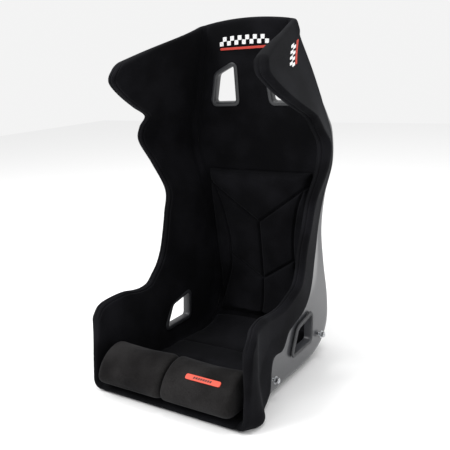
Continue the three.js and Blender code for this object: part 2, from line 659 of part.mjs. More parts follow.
const makeWingBadge = () => loftSections(19.15, 20.1, sideLayer(
  [2.3, 2.45, 2.6], fixed(-LAYER_COVER - TRIM_GAP - BADGE_THICKNESS), fixed(-LAYER_COVER - TRIM_GAP)));

// ---------------------------------------------------------------- assembly
const FABRIC = { color: 0x121215, roughness: 0.95, metalness: 0 };
const MATERIALS = {
  laminate: new THREE.MeshStandardMaterial({ color: 0x8c8c8e, roughness: 0.35, metalness: 0 }),
  foam: new THREE.MeshStandardMaterial({ color: 0x6f6c60, roughness: 1, metalness: 0 }),
  velour: new THREE.MeshStandardMaterial(FABRIC),
  melange: new THREE.MeshStandardMaterial({ color: 0x2a2b2e, roughness: 0.95, metalness: 0 }),
  trim: new THREE.MeshStandardMaterial({ color: 0x3a3b3d, roughness: 0.5, metalness: 0 }),
  tape: new THREE.MeshStandardMaterial({ color: 0x17171a, roughness: 1, metalness: 0 }),
  zinc: new THREE.MeshStandardMaterial({ color: 0xc4c6c8, roughness: 0.3, metalness: 1 }),
  steel: new THREE.MeshStandardMaterial({ color: 0x84878a, roughness: 0.45, metalness: 1 }),
  tag: new THREE.MeshStandardMaterial({ color: 0xc8412c, roughness: 0.6, metalness: 0 }),
  badge: new THREE.MeshStandardMaterial({ color: 0xe8e8e8, roughness: 0.8, metalness: 0 }),
};

const seat = new THREE.Group();
function addPiece(name, manifold, material) {
  const mesh = new THREE.Mesh(toGeometry(manifold), MATERIALS[material]);
  mesh.name = name;
  seat.add(mesh);
}

function addPair(name, left, material) {
  addPiece(`${name}_left`, left, material);
  addPiece(`${name}_right`, mirrored(left), material);
}

addPiece('shell', makeShell(), 'laminate');
for (const [name, v0, v1] of SIDE_FOAMS) addPair(name, sideFoam(v0, v1), 'foam');
addPiece('base_foam', centreFoam(SIDE_FOAMS[0][1], V_SPLIT - SPLIT_GAP), 'foam');
addPiece('back_foam', centreFoam(V_SPLIT + SPLIT_GAP, V_FOAM_TOP), 'foam');
addPair('side_cover', makeSideCover(), 'velour');
addPiece('base_cover', makeCentreCover(0, V_SPLIT - SPLIT_GAP, LIP_HEM), 'velour');
addPiece('back_cover', makeCentreCover(V_SPLIT + SPLIT_GAP, LAST, HEAD_HEM), 'velour');

addPiece('base_cushion', makeCushion(BASE_CUSHION), 'velour');
addPiece('back_cushion', makeCushion(BACK_CUSHION), 'velour');
const thighPad = makeThighPad();
addPair('thigh_pad', thighPad, 'melange');
addPair('base_hook_tape', tapePatch(3.6, 5.8, 0.5, 0.66), 'tape');
addPair('back_hook_tape', tapePatch(8.6, 11.6, 0.5, 0.68), 'tape');
addPair('thigh_hook_tape', tapePatch(0.9, 1.4, 0.35, 0.85), 'tape');

addPair('shoulder_slot_trim', makeSlotTrim(), 'trim');
addPair('shoulder_slot_rear_ring', makeSlotRing(), 'trim');
addPair('lap_slot_trim', makeLapTrim(), 'trim');
addPair('lap_slot_outer_ring', makeLapRing(), 'trim');
addPiece('crotch_slot_trim', makeCrotchTrim(), 'trim');

for (const [name, place] of Object.entries(MOUNTS)) {
  addPair(`side_mount_insert_${name}`, makeInsert(place), 'steel');
  addPair(`flat_washer_${name}`, makeWasher(place), 'zinc');
  addPair(`spring_washer_${name}`, makeSpringWasher(place), 'zinc');
  addPair(`mount_bolt_${name}`, makeBolt(place), 'zinc');
}

addPiece('thigh_pad_tag', makePadTag(), 'tag');
addPiece('head_badge', makeHeadBadge(), 'badge');
addPair('wing_badge', makeWingBadge(), 'badge');

// The origin is the centre of the bounding box's bottom face.
const box = new THREE.Box3().setFromObject(seat);
seat.position.set(-(box.min.x + box.max.x) / 2, -(box.min.y + box.max.y) / 2, -box.min.z);

export default seat;
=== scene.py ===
"""Racing bucket seat: smooth shell, sewn covers, cushions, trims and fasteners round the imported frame."""
import math

import bmesh
import bpy
import numpy as np
from mathutils import Matrix, Vector
from mathutils.bvhtree import BVHTree


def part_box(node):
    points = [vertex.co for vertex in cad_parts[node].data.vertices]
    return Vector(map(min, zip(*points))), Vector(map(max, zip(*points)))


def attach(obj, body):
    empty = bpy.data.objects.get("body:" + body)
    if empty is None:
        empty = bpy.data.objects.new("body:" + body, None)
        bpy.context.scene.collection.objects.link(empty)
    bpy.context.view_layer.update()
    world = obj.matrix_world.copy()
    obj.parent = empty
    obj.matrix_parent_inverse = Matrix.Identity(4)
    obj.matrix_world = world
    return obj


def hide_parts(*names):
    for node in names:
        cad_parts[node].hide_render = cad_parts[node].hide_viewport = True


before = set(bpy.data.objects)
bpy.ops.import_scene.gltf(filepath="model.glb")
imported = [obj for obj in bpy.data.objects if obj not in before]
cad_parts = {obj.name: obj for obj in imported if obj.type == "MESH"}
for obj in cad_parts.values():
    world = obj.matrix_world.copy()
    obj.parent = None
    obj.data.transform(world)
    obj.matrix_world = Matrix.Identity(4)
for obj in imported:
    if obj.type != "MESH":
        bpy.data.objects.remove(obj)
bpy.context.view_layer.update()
MM = 0.001
SEAT = "seat"

# ------------------------------------------------------------------ where the drawing lies
# Drawing sizes are in millimetres. The front bolt's axis ties the drawing to the frame.
FRONT_BOLT = (196.0, 50.0)
REAR_BOLT = (457.0, 65.0)
low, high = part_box("mount_bolt_front_left")
SHIFT_Y = (low.y + high.y) / 2 - FRONT_BOLT[0] * MM
SHIFT_Z = (low.z + high.z) / 2 - FRONT_BOLT[1] * MM

# One row per section, from the front lip to the top of the head: centreline y, z; rim y, z;
# half-width of the hollow and of the rim; corner radius; height where the flare starts; how far
# round from the centre the cover's turn-in ends, as a share from 0 (corner) to 1 (rim).
STATIONS = np.array([
    [24, 9, 50, 188, 224, 229, 24, 30, 0.02],
    [80, 8.5, 72, 214, 223, 228, 24, 40, 0.02],
    [128, 4.5, 101, 225, 203.5, 219, 26, 90, 0.08],
    [215, 4.5, 145, 227, 201, 213, 28, 150, 0.61],
    [300, 4.5, 180, 221, 201, 209, 30, 175, 0.67],
    [380, 4.5, 212, 218, 201, 208, 30, 185, 0.78],
    [450, 11, 243, 222, 201, 210, 31, 190, 0.81],
    [505, 36, 273, 238, 201, 216, 32, 190, 0.79],
    [535, 82, 302, 258, 201, 221, 34, 170, 0.78],
    [545, 150, 322, 292, 196, 221, 30, 110, 0.76],
    [542, 240, 338, 340, 188, 221, 26, 60, 0.69],
    [536, 340, 358, 392, 186, 225, 24, 40, 0.58],
    [531, 440, 376, 452, 200, 229, 24, 30, 0.5],
    [529, 530, 364, 528, 224, 260, 24, 30, 0.5],
    [524, 610, 340, 592, 226, 281, 24, 30, 0.5],
    [519.3, 650, 334, 632, 216, 270, 24, 30, 0.46],
    [513.3, 690, 338, 662, 203, 254, 25, 30, 0.42],
    [507.2, 730, 284, 690, 191, 246, 25, 25, 0.38],
    [501.1, 770, 230, 720, 179, 238, 25, 25, 0.35],
    [495, 810, 188, 750, 167, 230, 24, 25, 0.35],
    [488.9, 850, 175, 769, 156, 222, 24, 25, 0.35],
    [482.9, 890, 183, 789, 147, 215, 23, 25, 0.35],
    [480.8, 904, 195, 805, 144, 210, 22, 25, 0.35],
])
LAST = len(STATIONS) - 1
SHELL_WALL = 4.5
RIM_ROLL = 14.0
BASE_FOAM = 7.0
RIM_FOAM = 9.0
COVER_FACE = 10.5         # cover's face above the shell in the hollow
COVER_OUTSIDE = 8.0       # cover's face behind the shell
COVER_WALL = 2.4
WING_FULL = 7.0           # how much fuller the padding is in the wings
V_SHELL = (0.2, LAST - 0.6)
V_SPLIT = 6.9


def stations_at(v):
    """Catmull-Rom curve through the rows of STATIONS, at every v of an array."""
    i = np.clip(np.floor(v).astype(int), 0, LAST - 1)
    f = (v - i)[:, None]
    p0, p1, p2, p3 = (STATIONS[np.clip(i + k, 0, LAST)] for k in (-1, 0, 1, 2))
    return 0.5 * (2 * p1 + (p2 - p0) * f + (2 * p0 - 5 * p1 + 4 * p2 - p3) * f**2
                  + (-p0 + 3 * p1 - 3 * p2 + p3) * f**3)


def base_line(s, u):
    """Section curve at u: floor 0..1, rounded corner 1..2 (quadratic), flaring wall 2..3.
    s holds one row of stations per v, u one value per column. Returns x and height t."""
    origin, rim = s[:, 0:2], s[:, 2:4]
    height = np.linalg.norm(rim - origin, axis=1)[:, None]
    hollow, rim_x, corner, flare = (s[:, k:k + 1] for k in (4, 5, 6, 7))
    u = np.broadcast_to(u, (len(s), u.shape[-1]))

    def wall(t):
        k = np.clip((t - flare) / (height - flare), 0, None)
        return hollow + (rim_x - hollow) * k**1.15

    floor_end = wall(0 * height)
    k = np.clip(u - 1, 0, 1)
    corner_x = ((1 - k)**2 * (floor_end - corner) + 2 * k * (1 - k) * floor_end
                + k * k * wall(corner))
    top = height - RIM_ROLL
    t = corner + (top - corner) * np.clip(u - 2, 0, None)
    x = np.where(u <= 1, (floor_end - corner) * u, np.where(u <= 2, corner_x, wall(t)))
    t = np.where(u <= 1, 0, np.where(u <= 2, k * k * corner, t))
    return x, t


def section_frame(v, u):
    """Base line, unit tangent and sitter-side normal of the sections, as (rows, columns, 2)."""
    s = stations_at(v)
    e = 0.01
    point = np.stack(base_line(s, u), -1)
    ahead = np.stack(base_line(s, np.clip(u + e, 0, 3)), -1)
    behind = np.stack(base_line(s, np.clip(u - e, 0, 3)), -1)
    tangent = ahead - behind
    tangent /= np.linalg.norm(tangent, axis=-1, keepdims=True)
    normal = np.stack([-tangent[..., 1], tangent[..., 0]], -1)
    return s, point, tangent, normal


def to_space(s, flat):
    """Section points (x, t) to space: t runs along the ruling from the centreline to the rim."""
    origin, rim = s[:, 0:2], s[:, 2:4]
    d = (rim - origin) / np.linalg.norm(rim - origin, axis=1, keepdims=True)
    y = origin[:, None, 0] + d[:, None, 0] * flat[..., 1]
    z = origin[:, None, 1] + d[:, None, 1] * flat[..., 1]
    return np.stack([flat[..., 0], y, z], -1)


def smoothstep(x, a, b):
    """0 below a, 1 above b, and 3kk - 2kkk between."""
    k = np.clip((x - a) / (b - a), 0, 1)
    return k * k * (3 - 2 * k)


def bell(x, middle, width):
    """Gaussian bell: e to the minus square of the distance over the width."""
    return np.exp(-((x - middle) / width)**2)


def layer(v, u, offset):
    """Surface at a distance from the sections' base line; offset is a number or an array."""
    s, point, _, normal = section_frame(v, u)
    return to_space(s, point + normal * np.asarray(offset)[..., None])


def cover_face(u, v=None):
    """Height of the cover's face over the shell: flat in the hollow, full at the bolsters, and
    fuller still in the wings."""
    full = RIM_FOAM if v is None else RIM_FOAM + WING_FULL * smoothstep(v, 14.5, 16.5)[:, None]
    return COVER_FACE + full * smoothstep(u, 2.3, 3.0)


def eased(a, b, n):
    """Samples from a to b that crowd together at both ends."""
    return a + (b - a) * (0.5 - 0.5 * np.cos(np.linspace(0, math.pi, n)))


HEAD_DROP = 11.0          # how much lower the head's top is at its ends than in the middle


def arched(points):
    """Lowers the head's upper edge towards its ends: a parabola in x, faded out below the head
    and towards the tips of the wings."""
    x, y, z = points.T
    drop = (HEAD_DROP * smoothstep(z, 745, 900) * np.minimum(1, (x / 132)**2)
            * smoothstep(y, 200, 440))
    return np.stack([x, y, z - drop], 1)


# ------------------------------------------------------------------ mesh making
def make_piece(name, points, faces, body, material, stands_for=(), smooth=True, sharp=40):
    """Mesh object in metres in the frame, from points in drawing millimetres."""
    co = arched(np.asarray(points, float).reshape(-1, 3)) * MM
    co[:, 1] += SHIFT_Y
    co[:, 2] += SHIFT_Z
    mesh = bpy.data.meshes.new(name)
    mesh.from_pydata(co.tolist(), [], [tuple(int(i) for i in f) for f in faces])
    mesh.validate()
    if smooth:
        mesh.polygons.foreach_set("use_smooth", [True] * len(mesh.polygons))
    obj = bpy.data.objects.new(name, mesh)
    bpy.context.scene.collection.objects.link(obj)
    for m in material if isinstance(material, (list, tuple)) else [material]:
        mesh.materials.append(m)
    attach(obj, body)
    if stands_for:
        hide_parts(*stands_for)
    obj["sharp"] = sharp
    return obj


def grid_faces(rows, cols, close_rows=False, close_cols=False):
    """Quads of a grid of points, numbered row by row."""
    r = np.arange(rows if close_rows else rows - 1)
    c = np.arange(cols if close_cols else cols - 1)
    rr, cc = np.meshgrid(r, c, indexing="ij")
    r2, c2 = (rr + 1) % rows, (cc + 1) % cols
    return np.stack([rr * cols + cc, rr * cols + c2, r2 * cols + c2, r2 * cols + cc], -1).reshape(-1, 4)


def apply_modifiers(obj):
    """Replaces the mesh by what its modifiers make of it."""
    bpy.context.view_layer.update()
    depsgraph = bpy.context.evaluated_depsgraph_get()
    mesh = bpy.data.meshes.new_from_object(obj.evaluated_get(depsgraph))
    old = obj.data
    obj.modifiers.clear()
    obj.data = mesh
    bpy.data.meshes.remove(old)
    mesh.name = obj.name
    return obj


def fix_normals(obj):
    """Merges doubled points and turns every face outwards."""
    bm = bmesh.new()
    bm.from_mesh(obj.data)
    bmesh.ops.remove_doubles(bm, verts=bm.verts, dist=0.02 * MM)
    bmesh.ops.recalc_face_normals(bm, faces=bm.faces)
    bm.to_mesh(obj.data)
    bm.free()
    return obj


def finish_piece(obj):
    obj.data.set_sharp_from_angle(angle=math.radians(obj.get("sharp", 40)))
    return obj


def thicken(obj, thickness, outwards):
    """Gives a sheet its wall; outwards says which side of its faces the wall is on."""
    wall = obj.modifiers.new("wall", "SOLIDIFY")
    wall.thickness = thickness * MM
    wall.offset = 1 if outwards else -1
    wall.use_even_offset = False
    return apply_modifiers(obj)


def cut(obj, cutters):
    """Subtracts closed cutter objects."""
    for c in cutters:
        boolean = obj.modifiers.new("cut", "BOOLEAN")
        boolean.operation = "DIFFERENCE"
        boolean.solver = "EXACT"
        boolean.object = c
    apply_modifiers(obj)
    return obj


# ------------------------------------------------------------------ outlines and sweeps
def rounded_outline(corners, radius, steps=10):
    """Closed outline with corners rounded by quadratic arcs: points and outward normals."""
    p = np.array(corners, float)
    area = np.sum(p[:, 0] * np.roll(p[:, 1], -1) - np.roll(p[:, 0], -1) * p[:, 1])
    if area < 0:
        p = p[::-1]
    back = np.roll(p, 1, 0) - p
    ahead = np.roll(p, -1, 0) - p
    a = p + back / np.linalg.norm(back, axis=1, keepdims=True) * radius
    b = p + ahead / np.linalg.norm(ahead, axis=1, keepdims=True) * radius
    k = np.linspace(0, 1, steps)[None, :, None]
    arcs = (1 - k)**2 * a[:, None] + 2 * k * (1 - k) * p[:, None] + k**2 * b[:, None]
    points = arcs.reshape(-1, 2)
    tangent = np.roll(points, -1, 0) - np.roll(points, 1, 0)
    tangent /= np.linalg.norm(tangent, axis=1, keepdims=True)
    return points, np.stack([tangent[:, 1], -tangent[:, 0]], 1)


def sweep_outline(corners, radius, profile, place):
    """Carries a profile of (outward, up) points round an outline; place maps (x, y, up) to space."""
    points, normals = rounded_outline(corners, radius)
    profile = np.array(profile, float)
    flat = points[:, None] + normals[:, None] * profile[None, :, 0:1]
    up = np.broadcast_to(profile[None, :, 1], flat.shape[:2])
    space = place(flat[..., 0], flat[..., 1], up)
    return space, grid_faces(len(points), len(profile), True, True)


def plate(corners, radius, low, high, place):
    """Solid prism over an outline."""
    points, _ = rounded_outline(corners, radius)
    n = len(points)
    flat = np.concatenate([points, points])
    up = np.repeat([low, high], n)
    faces = [list(range(n))[::-1], list(range(n, 2 * n))]
    faces += grid_faces(2, n, False, True).tolist()
    return place(flat[:, 0], flat[:, 1], up), faces


def mirror_points(points):
    return points * np.array([-1.0, 1.0, 1.0])


BACK_SLOPE = np.array([0, 501.1 - 513.3, 770 - 690]) / np.hypot(501.1 - 513.3, 770 - 690)
SLOT_ORIGIN = np.array([0, 513.3, 690])


def on_back(x, y, up):
    """Plane of the upper back: x across, y up the slope, up towards the sitter."""
    out = np.array([0, -BACK_SLOPE[2], BACK_SLOPE[1]])
    return (SLOT_ORIGIN + np.array([1.0, 0, 0]) * x[..., None] + BACK_SLOPE * y[..., None]
            + out * up[..., None])


HIP_INNER = 201.0


def on_side(x, y, up):
    """Side mount panel: x along the seat, y up, up outwards from the shell's inner face."""
    return np.stack([HIP_INNER + up, x, y], -1)


def on_floor(x, y, up):
    """Floor of the shell: x across, y along the seat."""
    return np.stack([x, y, 4.5 + up], -1)


SLOT_OUTLINE = [[57, -3], [51, 97], [107, 72], [129, -4]]
SLOT_CORNER = 9
LAP_OUTLINE = [[294, 74], [326, 130], [403, 142], [396, 74]]
LAP_CORNER = 9
CROTCH_OUTLINE = [[-36, 146], [-36, 170], [36, 170], [36, 146]]
CROTCH_CORNER = 8
HOLE_GROW = 3.2


def grown(corners, distance):
    """Polygon with every side moved outwards."""
    p = np.array(corners, float)
    area = np.sum(p[:, 0] * np.roll(p[:, 1], -1) - np.roll(p[:, 0], -1) * p[:, 1])
    if area < 0:
        p = p[::-1]
    d = np.roll(p, -1, 0) - p
    d /= np.linalg.norm(d, axis=1, keepdims=True)
    a = p + np.stack([d[:, 1], -d[:, 0]], 1) * distance
    before = np.roll(a, 1, 0)
    e = np.roll(d, 1, 0)
    gap = a - before
    k = (gap[:, 0] * d[:, 1] - gap[:, 1] * d[:, 0]) / (e[:, 0] * d[:, 1] - e[:, 1] * d[:, 0])
    return before + e * k[:, None]


def cutter(name, corners, radius, place, flip=False):
    points, faces = plate(grown(corners, HOLE_GROW), radius + HOLE_GROW, -60, 60, place)
    if flip:
        points = mirror_points(points)
    obj = make_piece(name, points, faces, SEAT, [])
    return fix_normals(obj)


# ------------------------------------------------------------------ materials
def srgb(hex_colour):
    """Linear colour from an sRGB hex value."""
    c = [int(hex_colour[i:i + 2], 16) / 255 for i in (1, 3, 5)]
    return [x / 12.92 if x <= 0.04045 else ((x + 0.055) / 1.055)**2.4 for x in c] + [1.0]


def new_material(name):
    m = bpy.data.materials.new(name)
    m.use_nodes = True
    m.node_tree.nodes.clear()
    return m, m.node_tree


def add(tree, kind, links=None, **settings):
    """Adds a node: settings go to its sockets or properties, links to its inputs."""
    node = tree.nodes.new(kind)
    for key, value in settings.items():
        if hasattr(node, key):
            setattr(node, key, value)
        else:
            node.inputs[key.replace("_", " ")].default_value = value
    for socket, source in (links or {}).items():
        tree.links.new(source, node.inputs[socket])
    return node


def surface(tree, bsdf, bump=None):
    """Output node for a shader, with a bump on its normal."""
    add(tree, "ShaderNodeOutputMaterial", {"Surface": bsdf.outputs[0]})
    if bump:
        tree.links.new(bump.outputs[0], bsdf.inputs["Normal"])


def object_coords(tree):
    return add(tree, "ShaderNodeTexCoord").outputs["Object"]


def fabric_material(name, dark, light, pile_mm, sheen, bump_height, speckle):
    """Short-pile or knitted cloth: fine noise for the pile, drawn at pile_mm so that it shows,
    and slow noise, about 110 mm across, for the lie of the nap."""
    m, t = new_material(name)
    where = object_coords(t)
    pile = add(t, "ShaderNodeTexNoise", {"Vector": where}, Scale=1 / (pile_mm * MM), Detail=3.0,
               Roughness=0.6)
    nap = add(t, "ShaderNodeTexNoise", {"Vector": where}, Scale=9.0, Detail=2.0, Roughness=0.5)
    mix_fac = add(t, "ShaderNodeMath", {0: pile.outputs["Fac"], 1: nap.outputs["Fac"]}, operation="MULTIPLY")
    ramp = add(t, "ShaderNodeValToRGB", {"Fac": mix_fac.outputs[0]})
    ramp.color_ramp.elements[0].position = 0.25 - speckle
    ramp.color_ramp.elements[0].color = srgb(dark)
    ramp.color_ramp.elements[1].position = 0.30 + speckle
    ramp.color_ramp.elements[1].color = srgb(light)
    b = add(t, "ShaderNodeBump", {"Height": pile.outputs["Fac"]}, Strength=0.5, Distance=bump_height * MM)
    bsdf = add(t, "ShaderNodeBsdfPrincipled", {"Base Color": ramp.outputs["Color"]}, Roughness=0.92)
    bsdf.inputs["Specular IOR Level"].default_value = 0.06
    bsdf.inputs["Sheen Weight"].default_value = sheen
    bsdf.inputs["Sheen Roughness"].default_value = 0.45
    bsdf.inputs["Sheen Tint"].default_value = srgb("#b8bcc4")
    surface(t, bsdf, b)
    return m


def laminate_material():
    """Grey gelcoat on glass-fibre laminate, laid up in a polished mould: glossy, with flecks of
    about 2.4 mm and an orange peel of about 11 mm."""
    m, t = new_material("gelcoat_laminate")
    where = object_coords(t)
    fleck = add(t, "ShaderNodeTexNoise", {"Vector": where}, Scale=420.0, Detail=2.0, Roughness=0.7)
    ramp = add(t, "ShaderNodeValToRGB", {"Fac": fleck.outputs["Fac"]})
    ramp.color_ramp.elements[0].position = 0.35
    ramp.color_ramp.elements[0].color = srgb("#343538")
    ramp.color_ramp.elements[1].position = 0.68
    ramp.color_ramp.elements[1].color = srgb("#434447")
    peel = add(t, "ShaderNodeTexNoise", {"Vector": where}, Scale=90.0, Detail=1.0)
    b = add(t, "ShaderNodeBump", {"Height": peel.outputs["Fac"]}, Strength=0.08, Distance=0.6 * MM)
    bsdf = add(t, "ShaderNodeBsdfPrincipled", {"Base Color": ramp.outputs["Color"]}, Roughness=0.34, IOR=1.5)
    bsdf.inputs["Coat Weight"].default_value = 0.35
    bsdf.inputs["Coat Roughness"].default_value = 0.12
    surface(t, bsdf, b)
    return m


def plain_material(name, colour, roughness, metallic=0.0, grain_mm=0.8, grain=0.15):
    """Moulded plastic, rubber, foam or plated steel, with a fine grain."""
    m, t = new_material(name)
    where = object_coords(t)
    noise = add(t, "ShaderNodeTexNoise", {"Vector": where}, Scale=1 / (grain_mm * MM), Detail=2.0)
    ramp = add(t, "ShaderNodeValToRGB", {"Fac": noise.outputs["Fac"]})
    c = srgb(colour)
    ramp.color_ramp.elements[0].position = 0.3
    ramp.color_ramp.elements[0].color = [x * 0.82 for x in c[:3]] + [1.0]
    ramp.color_ramp.elements[1].position = 0.7
    ramp.color_ramp.elements[1].color = c
    b = add(t, "ShaderNodeBump", {"Height": noise.outputs["Fac"]}, Strength=grain, Distance=0.3 * MM)
    bsdf = add(t, "ShaderNodeBsdfPrincipled", {"Base Color": ramp.outputs["Color"]}, Roughness=roughness)
    bsdf.inputs["Metallic"].default_value = metallic
    surface(t, bsdf, b)
    return m


# Cut-pile velour on thin foam: nearly black, its short pile breaks up every highlight.
VELOUR = fabric_material("black_velour", "#08080a", "#131316", 1.1, 0.04, 0.5, 0.02)
# Weft knit of black and grey yarn: speckled, a shade lighter than the velour.
MELANGE = fabric_material("charcoal_melange_knit", "#100f0f", "#272626", 1.6, 0.06, 0.7, 0.06)
LAMINATE = laminate_material()
# Slab-cut polyurethane foam: dull, with open cells of about 1.5 mm.
FOAM = plain_material("open_cell_foam", "#6f6c60", 1.0, 0.0, 1.5, 0.6)
# Injection-moulded polyamide with a fine spark-eroded grain: a soft sheen on its edges.
TRIM = plain_material("moulded_dark_plastic", "#2b2c2f", 0.45, 0.0, 0.6, 0.2)
# Woven nylon tape with a coat of hooks: dull and rough.
TAPE = plain_material("hook_and_loop_tape", "#101012", 1.0, 0.0, 0.9, 0.8)
# Bright zinc plate on rolled steel: silvery, slightly clouded.
ZINC = plain_material("bright_zinc_plate", "#c9cbce", 0.28, 1.0, 0.5, 0.1)
# Mill-finish steel plate, oiled.
STEEL = plain_material("plain_steel", "#84878a", 0.42, 1.0, 0.4, 0.15)
# Moulded soft rubber, matt.
TAG = plain_material("matt_red_rubber", "#d2452c", 0.55, 0.0, 0.7, 0.15)
# Polyester embroidery thread, satin stitched: its grain stands in for the thread's 0.5 mm rows.
THREAD_WHITE = plain_material("white_embroidery", "#f2f2f2", 0.7, 0.0, 0.5, 0.8)
THREAD_RED = plain_material("red_embroidery", "#c0392b", 0.7, 0.0, 0.5, 0.8)
THREAD_DARK = plain_material("black_topstitch", "#232328", 0.6, 0.0, 0.4, 0.5)

# ------------------------------------------------------------------ camera, light, floor
CAMERA_AT = np.array([904.2, -1044.2, 801.4])
CAMERA_AXES = np.array([[0.8409, -0.0927, 0.5332], [0.5389, 0.2342, -0.8091], [-0.0499, 0.9678, 0.2469]])
CAMERA_LENS = 52.0
FLOOR_HALF = 6.0          # metres


def make_stage():
    place = CAMERA_AT * MM + np.array([0, SHIFT_Y, SHIFT_Z])
    matrix = Matrix.Identity(4)
    for r in range(3):
        for c in range(3):
            matrix[r][c] = CAMERA_AXES[r, c]
        matrix[r][3] = place[r]
    camera = bpy.data.objects.new("camera", bpy.data.cameras.new("camera"))
    camera.data.lens = CAMERA_LENS
    camera.data.sensor_width = 36.0
    camera.matrix_world = matrix
    bpy.context.scene.collection.objects.link(camera)
    bpy.context.scene.camera = camera
    floor_mesh = bpy.data.meshes.new("floor")
    corners = [(-1, -1), (1, -1), (1, 1), (-1, 1)]
    floor_mesh.from_pydata([(FLOOR_HALF * x, FLOOR_HALF * y, -MM) for x, y in corners], [], [(0, 1, 2, 3)])
    floor = bpy.data.objects.new("floor", floor_mesh)
    m, t = new_material("pale_floor")
    surface(t, add(t, "ShaderNodeBsdfDiffuse", Color=srgb("#f6f6f6")))
    floor_mesh.materials.append(m)
    bpy.context.scene.collection.objects.link(floor)
    world = bpy.data.worlds.new("studio")
    bpy.context.scene.world = world
    world.use_nodes = True
    world.node_tree.nodes["Background"].inputs["Color"].default_value = (1, 1, 1, 1)
    world.node_tree.nodes["Background"].inputs["Strength"].default_value = 0.9
    for name, spot, size, power in (("key", (-1.6, -1.6, 2.6), 1.6, 75), ("fill", (2.4, -1.4, 1.6), 1.4, 12),
                                    ("top", (0.2, 0.3, 2.8), 1.4, 30)):
        light = bpy.data.lights.new(name, "AREA")
        light.size = size
        light.energy = power
        lamp = bpy.data.objects.new(name, light)
        lamp.location = spot
        direction = np.array([0, 0, 0.45]) - np.array(spot)
        lamp.rotation_euler = Vector(direction).to_track_quat("-Z", "Y").to_euler()
        bpy.context.scene.collection.objects.link(lamp)
    bpy.context.scene.view_settings.view_transform = "Standard"


make_stage()

# ------------------------------------------------------------------ shell
SIDES = (("left", False), ("right", True))


def openings():
    """Cutters of every strap opening."""
    made = [cutter("cut_crotch", CROTCH_OUTLINE, CROTCH_CORNER, on_floor)]
    for side, flip in SIDES:
        made.append(cutter("cut_slot_" + side, SLOT_OUTLINE, SLOT_CORNER, on_back, flip))
        made.append(cutter("cut_lap_" + side, LAP_OUTLINE, LAP_CORNER, on_side, flip))
    return made


CUTTERS = openings()
U_FINE = np.concatenate([np.linspace(0, 1, 14)[:-1], np.linspace(1, 2, 14)[:-1], np.linspace(2, 3, 34)])


def both_sides(half):
    """Grid for the left half, from the centre out, to a grid right across."""
    return np.concatenate([mirror_points(half[:, :0:-1]), half], axis=1)


def make_shell():
    """The moulding: the base surface right across, with its wall on the outside."""
    v = np.linspace(*V_SHELL, 190)
    grid = both_sides(layer(v, U_FINE, 0.0))
    obj = make_piece("shell_moulding", grid, grid_faces(*grid.shape[:2]), SEAT, LAMINATE,
                     ["shell"])
    thicken(obj, SHELL_WALL, True)
    fix_normals(obj)
    cut(obj, CUTTERS)
    return finish_piece(obj)


make_shell()


# ------------------------------------------------------------------ covers
def end_scale(v):
    """Height of the padded edge near the seat's front and top ends: a quarter ellipse to zero."""
    front, top = 0.38, 1.0
    a = np.clip(1 - v / front, 0, 1)
    b = np.clip(1 - (LAST - v) / top, 0, 1)
    return np.sqrt(np.clip(1 - a**2, 0, 1)) * np.sqrt(np.clip(1 - b**2, 0, 1))


SEAM_DIP = 2.4               # seam between a side cover and the centre panel
SEAM_WIDTH = 2.6
SHOULDER_BULGE = 7.0         # and at the shoulder, just behind the padded edge
GROUND = 0.3                 # nothing of the cover goes below this height
SOFT_WAVES = 0.9             # height of the slow unevenness of stretched cloth
CREST_SEAMS = (0.5, 1.4)   # radians round the padded edge, from the sitter's side
CREST_DIP = 2.4
CREST_WIDTH = 2.0
FOOT = (1.2, 1.0, 1.6, 0.5)  # its middle and width in v, and in u
SHOULDER = (13.8, 1.3)       # middle and width in v of the shoulder's fullness
HEM_STEPS = 36
HEM_TUCK = 2.0               # how far the hem's edge is pulled in to the shell
FOOT_BULGE = 15.0            # fullness of the cover at the front foot of each side


def soft_waves(grid, side):
    """Slow unevenness of stretched cloth: three crossing sine waves, moved along each axis."""
    x, y, z = np.moveaxis(grid, -1, 0)
    shift = 1.3 if side == "left" else 4.1
    wave = (np.sin(x / 31 + y / 47 + shift) + np.sin(z / 39 - y / 58 + 2 * shift)
            + np.sin(x / 52 - z / 27 + 3 * shift)) / 3
    return SOFT_WAVES * wave[..., None] * np.array([1.0, -0.6, 0.3])


